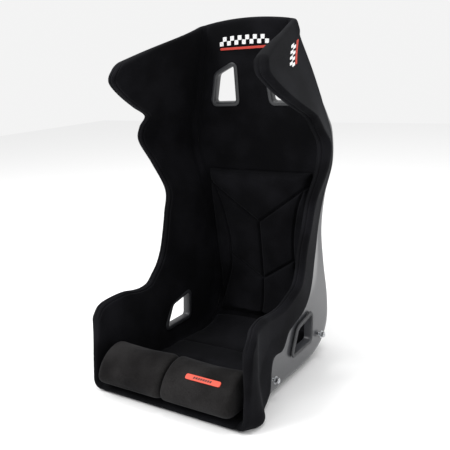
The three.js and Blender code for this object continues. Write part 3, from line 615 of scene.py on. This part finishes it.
def make_side_cover(side, flip):
    """Side cover: face in the hollow, elliptical roll over the rim, turn-in down the outside."""
    v = np.concatenate([eased(0.0, 0.6, 16)[:-1], np.linspace(0.6, LAST - 1.2, 250)[:-1],
                        eased(LAST - 1.2, LAST, 22)])
    scale = end_scale(v)[:, None]
    s = stations_at(v)
    face_u = np.concatenate([np.linspace(1, 2, 16)[:-1], np.linspace(2, 3, 44)])[None, :]
    hem_share = s[:, 8]
    ends = np.clip(np.maximum(smoothstep(v, LAST - 1.7, LAST - 0.9), 1 - smoothstep(v, 0.35, 0.8)), 0, 1)
    hem_end = (1.3 + 1.7 * hem_share) * (1 - ends) + 1.0 * ends
    hem_share_along = np.linspace(0, 1, HEM_STEPS)[None, :]
    hem_u = 3 + (hem_end[:, None] - 3) * hem_share_along
    out = COVER_OUTSIDE
    # face
    _, point, _, normal = section_frame(v, face_u)
    inside = cover_face(face_u, v)
    middle, half = (inside - out) / 2, (inside + out) / 2
    seam = (face_u - 1) * s[:, 6:7]
    dip = SEAM_DIP * bell(seam, 0, SEAM_WIDTH)
    face = point + normal * (middle + half * scale - dip)[..., None]
    # roll, with the two crest seams sunk into it
    _, point, tangent, normal = section_frame(v, np.full((1, 1), 3.0))
    inside = cover_face(3.0, v)
    middle, half = (inside - out) / 2, (inside + out) / 2
    angle = np.linspace(0, math.pi, 46)[None, 1:-1]
    sunk = sum(CREST_DIP * bell((angle - a) * half, 0, CREST_WIDTH) for a in CREST_SEAMS)
    radius = half * scale - sunk * scale
    shoulder = SHOULDER_BULGE * bell(v[:, None], *SHOULDER) * np.clip(-np.cos(angle), 0, 1)
    roll = (point + normal * (middle + radius * np.cos(angle) - shoulder)[..., None]
            + tangent * ((RIM_ROLL * scale - sunk * scale) * np.sin(angle))[..., None])
    # turn-in
    _, point, _, normal = section_frame(v, hem_u)
    inside = cover_face(hem_u, v)
    middle, half = (inside - out) / 2, (inside + out) / 2
    tuck = HEM_TUCK * smoothstep(hem_share_along, 0.9, 1.0)
    foot = FOOT_BULGE * bell(v[:, None], *FOOT[:2]) * smoothstep(v, 0.1, 0.8)[:, None]
    foot = foot * bell(hem_u, *FOOT[2:])
    shoulder = SHOULDER_BULGE * bell(v[:, None], *SHOULDER) * smoothstep(hem_u, 2.4, 3.0)
    hem = point + normal * (middle - half * scale + tuck - foot - shoulder)[..., None]
    flat = np.concatenate([face, roll, hem], axis=1)
    grid = to_space(s, flat)
    grid += soft_waves(grid, side)
    grid[..., 2] = np.maximum(grid[..., 2], GROUND)
    if flip:
        grid = mirror_points(grid)
    obj = make_piece("side_cover_skin_" + side, grid, grid_faces(*grid.shape[:2]), SEAT, VELOUR,
                     ["side_cover_" + side])
    thicken(obj, COVER_WALL, flip)
    fix_normals(obj)
    cut(obj, CUTTERS)
    return finish_piece(obj)


for side, flip in SIDES:
    make_side_cover(side, flip)


def make_centre_cover(name, stands_for, v_face, v_end, v_back, top):
    """Centre panel between the side seams: its face, a roll over the end, a turn-in behind."""
    n_face = 199
    theta = np.linspace(0, math.pi, 16)
    reach = abs(v_end - v_face[1])
    sign = 1 if top else -1
    v = np.concatenate([np.linspace(v_face[0], v_face[1], n_face + 1)[:-1],
                        v_face[1] + sign * reach * np.sin(theta),
                        np.linspace(v_face[1], v_back, 14)[1:]])
    cosine = np.concatenate([np.ones(n_face), np.cos(theta), -np.ones(13)])[:, None]
    u = np.linspace(0, 1, 22)[None, :]
    middle, half = (COVER_FACE - COVER_OUTSIDE) / 2, (COVER_FACE + COVER_OUTSIDE) / 2
    s = stations_at(v)
    width = s[:, 4:5] - s[:, 6:7]
    dip = SEAM_DIP * bell((1 - u) * width, 0, SEAM_WIDTH)
    offset = middle + half * cosine - dip * np.sign(cosine)
    grid = both_sides(layer(v, u, offset))
    obj = make_piece(name, grid, grid_faces(*grid.shape[:2]), SEAT, VELOUR, stands_for)
    thicken(obj, COVER_WALL, not top)
    fix_normals(obj)
    cut(obj, CUTTERS)
    return finish_piece(obj)


make_centre_cover("back_cover_skin", ["back_cover"], (V_SPLIT, LAST - 1.0), LAST, LAST - 1.6, True)
make_centre_cover("base_cover_skin", ["base_cover"], (V_SPLIT, 0.4), 0.0, 0.6, False)

# ------------------------------------------------------------------ foam
def slab(name, v, u, low, high, material, stands_for, flip=False, across=False, body=SEAT):
    """Closed slab between two offsets from the sections' base line: two grids and their rim."""
    bottom, top = layer(v, u, low), layer(v, u, high)
    if across:
        bottom, top = both_sides(bottom), both_sides(top)
    if flip:
        bottom, top = mirror_points(bottom), mirror_points(top)
    rows, cols = top.shape[:2]
    loops = np.concatenate([bottom, top[:, ::-1]], axis=1)
    faces = grid_faces(rows, 2 * cols, False, True)
    left = np.arange(cols - 1)
    caps = []
    for start in (0, (rows - 1) * 2 * cols):
        near, far = start + left, start + 2 * cols - 1 - left
        caps.append(np.stack([near, near + 1, far - 1, far], 1))
    faces = np.concatenate([faces] + caps)
    obj = make_piece(name, loops, faces, body, material, stands_for)
    return fix_normals(obj)


def foam_top(u):
    return BASE_FOAM + RIM_FOAM * smoothstep(u, 2.45, 3.0)


V_FOAM_TOP = V_SHELL[1] - 0.03
SIDE_FOAMS = (("thigh_foam", 0.3, 7.99), ("torso_foam", 8.0, 15.49), ("wing_foam", 15.5, V_FOAM_TOP))


def make_foams():
    for name, v0, v1 in SIDE_FOAMS:
        for side, flip in SIDES:
            v = np.linspace(v0, v1, 60)
            u = np.concatenate([np.linspace(1.03, 2, 8)[:-1], np.linspace(2, 3, 16)])[None, :]
            obj = slab(name + "_pad_" + side, v, u, 0.5, foam_top(u), FOAM, [f"{name}_{side}"], flip)
            cut(obj, CUTTERS)
            finish_piece(obj)
    for name, v0, v1 in (("base_foam", 0.3, V_SPLIT - 0.01), ("back_foam", V_SPLIT + 0.01, V_FOAM_TOP)):
        u = np.linspace(0, 0.97, 10)[None, :]
        obj = slab(name + "_sheet", np.linspace(v0, v1, 90), u, 0.5, BASE_FOAM + 0 * u, FOAM, [name],
                   across=True)
        cut(obj, CUTTERS)
        finish_piece(obj)


make_foams()
for c in CUTTERS:
    bpy.data.objects.remove(c)

# ------------------------------------------------------------------ cushions
CUSHION_LOW = COVER_FACE + 2.2


def superellipse(t, power):
    """Height of a pillow's edge at t from 0 (edge) to 1 (inside)."""
    return (1 - (1 - np.clip(t, 0, 1))**power)**(1 / power)


def cushion_form(v0, v1, w0, w1, thick, edge, end):
    """Pillow on the sections' centre strip: half-width from w0 to w1, and a height that falls to
    the edges and ends as a superellipse. Returns the upper and lower grids."""
    along = 0.5 - 0.5 * np.cos(np.linspace(0, math.pi, 130))
    across = np.sin(np.linspace(-math.pi / 2, math.pi / 2, 81))
    v = v0 + (v1 - v0) * along
    s = stations_at(v)
    width = (w0 + (w1 - w0) * along)[:, None]
    step = np.linalg.norm(np.diff(s[:, 0:2], axis=0), axis=1)
    length = np.concatenate([[0], np.cumsum(step)])
    from_end = np.minimum(length, length[-1] - length)[:, None]
    from_edge = width * (1 - np.abs(across))[None, :]
    rise = superellipse(from_end / end, 2.2) * superellipse(from_edge / edge, 2.2)
    crown = 1 + 0.08 * (1 - across**2)[None, :]
    x = width * across[None, :]
    middle = CUSHION_LOW + thick * 0.32
    upper = middle + (thick * 0.68 * crown) * rise
    lower = middle - thick * 0.32 * np.minimum(1, rise * 1.8)
    origin, rim = s[:, 0:2], s[:, 2:4]
    ruling = (rim - origin) / np.linalg.norm(rim - origin, axis=1, keepdims=True)

    def grid(height):
        y = origin[:, None, 0] + ruling[:, None, 0] * height
        z = origin[:, None, 1] + ruling[:, None, 1] * height
        return np.stack([x, y, z], -1)
    return grid(upper), grid(lower)


def pillow_mesh(name, upper, lower, body, material, stands_for):
    """Closes an upper and a lower grid with a band round their borders."""
    rows, cols = upper.shape[:2]
    points = np.concatenate([upper.reshape(-1, 3), lower.reshape(-1, 3)])
    top = grid_faces(rows, cols)
    bottom = top[:, ::-1] + rows * cols
    border = np.concatenate([np.arange(cols), cols * np.arange(1, rows) + cols - 1,
                             (rows - 1) * cols + np.arange(cols - 2, -1, -1),
                             cols * np.arange(rows - 2, 0, -1)])
    after = np.roll(border, -1)
    rim = np.stack([border, border + rows * cols, after + rows * cols, after], 1)
    obj = make_piece(name, points, np.concatenate([top, bottom, rim]), body, material, stands_for)
    return fix_normals(obj)


def inflate(obj, voxel, pressure, cap, facing):
    """Blows a padded piece up as cloth for a few frames, keeps the swelling on the side that
    faces the given direction, and limits it."""
    remesh = obj.modifiers.new("even", "REMESH")
    remesh.mode = "VOXEL"
    remesh.voxel_size = voxel * MM
    apply_modifiers(obj)
    count = len(obj.data.vertices)
    start = np.empty(count * 3)
    obj.data.vertices.foreach_get("co", start)
    start = start.reshape(-1, 3)
    cloth = obj.modifiers.new("cloth", "CLOTH")
    cloth.settings.quality = 5
    cloth.settings.mass = 0.3
    cloth.settings.tension_stiffness = 15
    cloth.settings.compression_stiffness = 15
    cloth.settings.use_pressure = True
    cloth.settings.uniform_pressure_force = pressure
    cloth.settings.effector_weights.gravity = 0.0
    cloth.collision_settings.use_collision = False
    scene = bpy.context.scene
    for f in range(1, 21):
        scene.frame_set(f)
    deps = bpy.context.evaluated_depsgraph_get()
    mesh = obj.evaluated_get(deps).to_mesh()
    end = np.empty(count * 3)
    mesh.vertices.foreach_get("co", end)
    end = end.reshape(-1, 3)
    obj.evaluated_get(deps).to_mesh_clear()
    obj.modifiers.clear()
    scene.frame_set(1)
    normals = np.empty(count * 3)
    obj.data.vertices.foreach_get("normal", normals)
    towards = normals.reshape(-1, 3) @ (np.array(facing) / np.linalg.norm(facing))
    move = (end - start) * smoothstep(towards, -0.35, 0.25)[:, None]
    size = np.linalg.norm(move, axis=1, keepdims=True)
    move *= np.minimum(1, cap * MM / np.maximum(size, 1e-9))
    obj.data.vertices.foreach_set("co", (start + move).ravel())
    obj.data.update()
    return obj


def subdivide(obj):
    mod = obj.modifiers.new("smooth", "SUBSURF")
    mod.levels = mod.render_levels = 1
    apply_modifiers(obj)
    obj.data.polygons.foreach_set("use_smooth", [True] * len(obj.data.polygons))


def seam_distance(x, z, a, b):
    """Distance in the plane of (x, z) from points to the segment from a to b."""
    a, b = np.array(a, float), np.array(b, float)
    d = b - a
    k = np.clip(((x - a[0]) * d[0] + (z - a[1]) * d[1]) / (d @ d), 0, 1)
    return np.hypot(x - a[0] - k * d[0], z - a[1] - k * d[1])


def smooth_path(points, steps=10):
    """Catmull-Rom points along a short list of control points."""
    p = np.array(points, float)
    p = np.concatenate([[2 * p[0] - p[1]], p, [2 * p[-1] - p[-2]]])
    out = []
    for i in range(1, len(p) - 2):
        f = np.linspace(0, 1, steps, endpoint=False)[:, None]
        out.append(0.5 * (2 * p[i] + (p[i + 1] - p[i - 1]) * f
                          + (2 * p[i - 1] - 5 * p[i] + 4 * p[i + 1] - p[i + 2]) * f**2
                          + (-p[i - 1] + 3 * p[i] - 3 * p[i + 1] + p[i + 2]) * f**3))
    return np.concatenate(out + [p[-2:-1]])


VALLEY_DEPTH = 0.35       # the wide valley beside a seam, as shares of its depth and width
VALLEY_WIDTH = 4.5


def sew(obj, seams, facing, plane, depth, width):
    """Sinks seams into a piece: every point near a seam line moves against its facing, by a
    bell curve of its distance in the plane of two axes."""
    count = len(obj.data.vertices)
    co = np.empty(count * 3)
    obj.data.vertices.foreach_get("co", co)
    co = co.reshape(-1, 3)
    normal = np.empty(count * 3)
    obj.data.vertices.foreach_get("normal", normal)
    facing = np.array(facing) / np.linalg.norm(facing)
    front = smoothstep(normal.reshape(-1, 3) @ facing, 0.0, 0.4)
    drawn = co / MM
    drawn[:, 1] -= SHIFT_Y / MM
    drawn[:, 2] -= SHIFT_Z / MM
    a, b = drawn[:, plane[0]], drawn[:, plane[1]]
    near = np.full(count, 1e9)
    for path in seams:
        for p, q in zip(path[:-1], path[1:]):
            near = np.minimum(near, seam_distance(a, b, p, q))
    dip = depth * (bell(near, 0, width) + VALLEY_DEPTH * bell(near, 0, width * VALLEY_WIDTH))
    co -= facing * (dip * front * MM)[:, None]
    obj.data.vertices.foreach_set("co", co.ravel())
    obj.data.update()
    return obj


def mirrored_paths(paths):
    return paths + [p * np.array([-1, 1]) for p in paths]


def make_back_cushion():
    """Back cushion with two chevrons, a centre seam and curved side seams."""
    upper, lower = cushion_form(7.36, 12.62, 150, 166, 19, 17, 20)
    obj = pillow_mesh("back_cushion_pad", upper, lower, "back_cushion", VELOUR, ["back_cushion"])
    inflate(obj, 4.5, 4.0, 5.0, (0, -1, 0.1))
    subdivide(obj)
    chevrons = [np.array([(158, 462), (0, 350)]), np.array([(104, 245), (0, 177)])]
    side = smooth_path([(142, 447), (122, 395), (106, 313), (104, 245), (112, 187), (142, 100), (158, 60)])
    seams = mirrored_paths(chevrons + [side]) + [np.array([(0, 350), (0, 40)])]
    sew(obj, seams, (0, -1, 0.1), (0, 2), 6.5, 3.4)
    finish_piece(obj)


def make_base_cushion():
    """Base cushion with one cross seam."""
    upper, lower = cushion_form(2.7, 7.1, 168, 152, 27, 20, 24)
    obj = pillow_mesh("base_cushion_pad", upper, lower, "base_cushion", VELOUR, ["base_cushion"])
    inflate(obj, 4.5, 4.0, 6.0, (0, -0.1, 1))
    subdivide(obj)
    cross = [np.array([(0, 306), (180, 300)])]
    sew(obj, mirrored_paths(cross), (0, 0, 1), (0, 1), 3.0, 2.6)
    finish_piece(obj)


make_back_cushion()
make_base_cushion()

# ------------------------------------------------------------------ thigh pads
PAD_CORE = [(8, 41), (4, 52), (12, 71), (28, 91), (48, 105), (69, 113), (87, 115), (100, 110), (108, 97),
            (110, 62), (109, 30), (42, 28), (20, 33)]
PAD_X = (1.0, 193.0)
PAD_END = 15.0


def make_thigh_pad(side, flip):
    """Padded roll over the front lip: its profile, carried across and drawn in at both ends by
    a superellipse."""
    profile = smooth_path(PAD_CORE + PAD_CORE[:1], 6)[:-1]
    centre = np.array([58.0, 68.0])
    x = PAD_X[0] + (PAD_X[1] - PAD_X[0]) * (0.5 - 0.5 * np.cos(np.linspace(0.0, math.pi, 60)))
    inner = superellipse((x - PAD_X[0]) / PAD_END, 2.0)
    outer = superellipse((PAD_X[1] - x) / PAD_END, 2.0)
    size = np.minimum(inner, outer)
    shrink = 1.03 - 0.27 * (1 - size)
    flat = centre + (profile - centre)[None] * shrink[:, None, None]
    ring = np.stack([np.broadcast_to(x[:, None], flat.shape[:2]), flat[..., 0], flat[..., 1]], -1)
    n = len(profile)
    points = ring.reshape(-1, 3)
    faces = grid_faces(len(x), n, False, True).tolist()
    faces += [list(range(n)), list(range((len(x) - 1) * n, len(x) * n))[::-1]]
    if flip:
        points = mirror_points(points)
    obj = make_piece("thigh_pad_roll_" + side, points, faces, "thigh_pad_" + side, MELANGE,
                     ["thigh_pad_" + side])
    fix_normals(obj)
    inflate(obj, 4.5, 3.0, 4.0, (0, -0.6, 0.8))
    subdivide(obj)
    finish_piece(obj)


for side, flip in SIDES:
    make_thigh_pad(side, flip)


# ------------------------------------------------------------------ hook-and-loop tapes
TAPE_GAP = 0.4
TAPE_WALL = 1.4
TAPES = (("base_hook_tape", 3.6, 5.8, 0.5, 0.66), ("back_hook_tape", 8.6, 11.6, 0.5, 0.68),
         ("thigh_hook_tape", 0.9, 1.4, 0.35, 0.85))


def make_tapes():
    """Two strips for each cushion and one for each pad: slabs on the cover's face."""
    for name, v0, v1, u0, u1 in TAPES:
        for side, flip in SIDES:
            u = np.linspace(u0, u1, 6)[None, :]
            low = COVER_FACE + TAPE_GAP
            obj = slab(f"{name}_strip_{side}", np.linspace(v0, v1, 40), u, low, low + TAPE_WALL + 0 * u,
                       TAPE, [f"{name}_{side}"], flip)
            finish_piece(obj)


make_tapes()

# ------------------------------------------------------------------ strap-opening trims
FLANGE = 11.0
COLLAR = 2.4
COLLAR_END = -8.5
FLANGE_WALL = 2.6
RING = [(2.8, -7.5), (3.2, -7.9), (10.4, -7.9), (FLANGE, -7.3), (FLANGE, -5.6), (2.8, -5.6)]
SIDE_RING = [(2.8, 5.0), (2.8, 7.6), (3.4, 8.2), (6.5, 8.5), (9.6, 8.2), (10.8, 7.0), (FLANGE, 5.0)]


def trim_profile(top, bottom, flange_low):
    """Section of a trim: a flange that lies on the cover, and a collar through the shell."""
    return [(0.5, top - 0.2), (1.6, top + 0.5), (5.5, top + 0.8), (9.2, top + 0.3),
            (10.8, top - 0.6), (FLANGE, top - 1.6), (10.8, flange_low), (2.5, flange_low),
            (COLLAR, bottom + 0.5), (COLLAR - 0.4, bottom), (0.4, bottom), (0, bottom + 0.5),
            (0, top - 0.9)]


def make_trim(name, stands_for, corners, radius, profile, place, flip=False):
    """One trim or ring: its section carried round the opening's outline."""
    points, faces = sweep_outline(corners, radius, profile, place)
    if flip:
        points = mirror_points(points)
    obj = make_piece(name, points, faces, SEAT, TRIM, [stands_for])
    finish_piece(fix_normals(obj))


def make_trims():
    face = COVER_FACE + 0.2
    side_face = COVER_FACE + 0.8
    front = trim_profile(face + FLANGE_WALL, COLLAR_END, face)
    inner = [(a, -b) for a, b in trim_profile(side_face + FLANGE_WALL, COLLAR_END, side_face)]
    for side, flip in SIDES:
        make_trim("shoulder_trim_" + side, "shoulder_slot_trim_" + side, SLOT_OUTLINE, SLOT_CORNER, front,
                  on_back, flip)
        make_trim("shoulder_ring_" + side, "shoulder_slot_rear_ring_" + side, SLOT_OUTLINE, SLOT_CORNER,
                  RING, on_back, flip)
        make_trim("lap_trim_" + side, "lap_slot_trim_" + side, LAP_OUTLINE, LAP_CORNER, inner, on_side, flip)
        make_trim("lap_ring_" + side, "lap_slot_outer_ring_" + side, LAP_OUTLINE, LAP_CORNER, SIDE_RING,
                  on_side, flip)
    make_trim("crotch_trim", "crotch_slot_trim", CROTCH_OUTLINE, CROTCH_CORNER,
              trim_profile(face + 2.2, -4.0, face), on_floor)


make_trims()

# ------------------------------------------------------------------ side mount fasteners
HIP_OUTER = HIP_INNER + SHELL_WALL
BRACKET_GAP = 3.5
BOLT_GRIP = 14.0
PITCH = 1.25              # M8 thread
INSERT_HALF = 14.0


def turned(name, profile, at, material, stands_for, flip, radius_at=None, sides=72):
    """Solid turned about an X axis: profile holds (x, radius); radius_at may bend each ring."""
    angle = np.linspace(0, 2 * math.pi, sides, endpoint=False)
    profile = np.array(profile, float)
    radius = np.broadcast_to(profile[:, 1:2], (len(profile), sides))
    if radius_at is not None:
        radius = radius_at(profile[:, 1:2], angle[None, :])
    x = np.broadcast_to(profile[:, 0:1], radius.shape)
    points = np.stack([x, at[0] + radius * np.cos(angle), at[1] + radius * np.sin(angle)], -1)
    if flip:
        points = mirror_points(points)
    obj = make_piece(name, points, grid_faces(len(profile), sides, True, True), SEAT, material,
                     stands_for)
    return finish_piece(fix_normals(obj))


def hexagon(radius, angle):
    """Radius of a hexagon across corners 15 mm, cut down to the given radius."""
    sector = (angle % (math.pi / 3)) - math.pi / 6
    return np.minimum(radius, 6.5 / np.cos(sector))


def bolt_profile(head):
    """Shank with rounded thread ridges, a washer face, and a chamfered head with a dished top."""
    tip = head - BOLT_GRIP
    ridges = []
    for k in range(11):
        ridges += [(tip + 0.6 + k * PITCH, 3.95), (tip + 1.225 + k * PITCH, 3.4)]
    return ([(tip, 0.01), (tip, 3.0)] + ridges
            + [(head, 3.9), (head, 6.3), (head + 0.3, 6.4), (head + 0.3, 7.5), (head + 4.6, 7.5),
               (head + 5.3, 6.4), (head + 5.3, 4.2), (head + 5.0, 3.8), (head + 5.0, 0.01)])


def bolt_radius(radius, angle):
    """Hexagon on the head, round elsewhere."""
    return np.where(radius > 6.35, hexagon(radius, angle), radius + 0 * angle)


def make_fasteners():
    low = HIP_OUTER + BRACKET_GAP
    spring = low + 1.9
    head = spring + 2.4
    washer = [(low, 4.4), (low, 9.7), (low + 0.3, 10), (low + 1.3, 10), (low + 1.6, 9.7), (low + 1.6, 4.4)]
    split = [(spring, 4.4), (spring, 7.2), (spring + 2.1, 7.2), (spring + 2.1, 4.4)]
    section = [(-9.6, -4.0), (-0.3, -4.0), (0, -3.7), (0, -0.8), (-0.3, -0.5), (-9.6, -0.5)]
    for place, at in (("front", FRONT_BOLT), ("rear", REAR_BOLT)):
        corners = [(at[0] + INSERT_HALF * a, at[1] + INSERT_HALF * b)
                   for a, b in ((-1, -1), (-1, 1), (1, 1), (1, -1))]
        for side, flip in SIDES:
            end = f"{place}_{side}"
            turned("washer_" + end, washer, at, ZINC, ["flat_washer_" + end], flip)
            turned("split_washer_" + end, split, at, ZINC, ["spring_washer_" + end], flip)
            turned("hex_bolt_" + end, bolt_profile(head), at, ZINC, ["mount_bolt_" + end], flip,
                   bolt_radius)
            points, faces = sweep_outline(corners, 2.0, section, on_side)
            if flip:
                points = mirror_points(points)
            obj = make_piece("insert_plate_" + end, points, faces, SEAT, STEEL,
                             ["side_mount_insert_" + end])
            finish_piece(fix_normals(obj))


make_fasteners()


# ------------------------------------------------------------------ tag and badges
def cushioned_plate(name, outline_points, corner, low, high, place, body, material, slot_name, stands_for,
                    flip=False):
    """Thin plate with a rounded upper edge: an outline swept inwards in four rings and closed."""
    points, normals = rounded_outline(outline_points, corner, 8)
    rings = [(0, low), (0, high - 0.4), (-0.15, high - 0.12), (-0.5, high), (-1.6, high)]
    flat = [points + normals * a for a, _ in rings]
    n = len(points)
    xy = np.concatenate(flat)
    up = np.repeat([b for _, b in rings], n)
    faces = grid_faces(len(rings), n, False, True).tolist()
    faces += [list(range(n))[::-1], list(range((len(rings) - 1) * n, len(rings) * n))]
    space = place(xy[:, 0], xy[:, 1], up)
    if flip:
        space = mirror_points(space)
    obj = make_piece(name, space, faces, body, material, stands_for, sharp=30)
    return finish_piece(fix_normals(obj))


TAG_CENTRE = np.array([111.0, 36.6, 100.2])
TAG_UP = np.array([0, 20.0, 14.6]) / np.hypot(20.0, 14.6)
TAG_OUT = np.array([0, -TAG_UP[2], TAG_UP[1]])


TAG_REACH = 30.0          # rays towards the pad start this far out
pad_mesh = bpy.data.objects["thigh_pad_roll_left"].data
PAD_TREE = BVHTree.FromPolygons([v.co for v in pad_mesh.vertices],
                                [tuple(f.vertices) for f in pad_mesh.polygons])


def on_tag(x, y, up):
    """The pad's front slope: each point stands at a height over where a ray meets the pad."""
    plane = TAG_CENTRE + np.array([1.0, 0, 0]) * x[..., None] + TAG_UP * y[..., None]
    start = (plane + TAG_OUT * TAG_REACH) * MM + np.array([0, SHIFT_Y, SHIFT_Z])
    reach = [PAD_TREE.ray_cast(Vector(p), Vector(-TAG_OUT))[3] or TAG_REACH * MM
             for p in start.reshape(-1, 3)]
    height = TAG_REACH - np.array(reach).reshape(x.shape) / MM
    return plane + TAG_OUT * (height + up)[..., None]


def rectangle(x0, y0, x1, y1, slant=0.0):
    return [(x0, y0), (x1, y0), (x1 + slant, y1), (x0 + slant, y1)]


def make_tag():
    cushioned_plate("pad_tag", rectangle(-47.5, -6.8, 47.5, 6.8), 5.0, -1.5, 2.0, on_tag,
                    "thigh_pad_left", TAG, "tag", ["thigh_pad_tag"])
    for k in range(8):
        bar = rectangle(-26 + 6.4 * k, -2.8, -22.4 + 6.4 * k, 2.8, 1.6)
        cushioned_plate(f"pad_tag_bar_{k}", bar, 0.4, 1.6, 2.35, on_tag, "thigh_pad_left", THREAD_DARK,
                        "tag", [])


make_tag()


def join(name, pieces, stands_for):
    """Joins small pieces on the same body into one."""
    first = pieces[0]
    with bpy.context.temp_override(active_object=first, selected_editable_objects=pieces):
        bpy.ops.object.join()
    first.name = name
    if stands_for:
        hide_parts(*stands_for)
    return first


HEAD_BADGE_SHIFT = 11.0   # towards the sitter's right
BADGE_RANGE = (COVER_FACE - 1.0, COVER_FACE + 1.3)


def make_head_badge():
    """Embroidered chequered band over a thin red stripe, free of any lettering."""
    squares = []
    columns, size = 13, 11.6
    for i in range(columns):
        for j in range(2):
            if (i + j) % 2:
                continue
            x = (i - columns / 2) * size - HEAD_BADGE_SHIFT
            y = 151 + j * size
            cell = rectangle(x, y, x + size, y + size, 1.5)
            squares.append(cushioned_plate(f"chequer_{i}_{j}", cell, 0.8, *BADGE_RANGE, on_back, SEAT,
                                           THREAD_WHITE, "badge", []))
    join("head_chequer_band", squares, ["head_badge"])
    stripe = rectangle(-75 - HEAD_BADGE_SHIFT, 140, 75 - HEAD_BADGE_SHIFT, 146.5)
    cushioned_plate("head_red_stripe", stripe, 3.0, *BADGE_RANGE, on_back, SEAT, THREAD_RED, "badge", [])


make_head_badge()


WING_BADGE = (18.95, 2.44)   # its lower corner, as v and u
WING_BADGE_LEAN = -0.23      # change of u with v, so that the band leans back as it climbs


def make_wing_badge(side, flip):
    """The same band, small, on the wing's outer face: cells of a leaning grid laid on the cover."""
    v0, u0 = WING_BADGE

    def patch(name, v_from, v_to, u_from, u_to, material):
        v = np.linspace(v_from, v_to, 6)
        u = u0 + np.linspace(u_from, u_to, 5)[None, :] + WING_BADGE_LEAN * (v[:, None] - v0)
        return slab(name, v, u, -COVER_OUTSIDE - 1.6, -COVER_OUTSIDE + 1.0 + 0 * u, material, [],
                    flip)
    cells = []
    for i in range(8):
        for j in range(2):
            if (i + j) % 2 == 0:
                v, u = v0 + 0.16 * i, 0.075 * j
                cells.append(patch(f"wing_cell_{side}_{i}_{j}", v, v + 0.16, u, u + 0.075, THREAD_WHITE))
    join("wing_chequer_band_" + side, cells, ["wing_badge_" + side])
    finish_piece(patch("wing_red_stripe_" + side, v0, v0 + 1.28, -0.075, -0.03, THREAD_RED))


for side, flip in SIDES:
    make_wing_badge(side, flip)
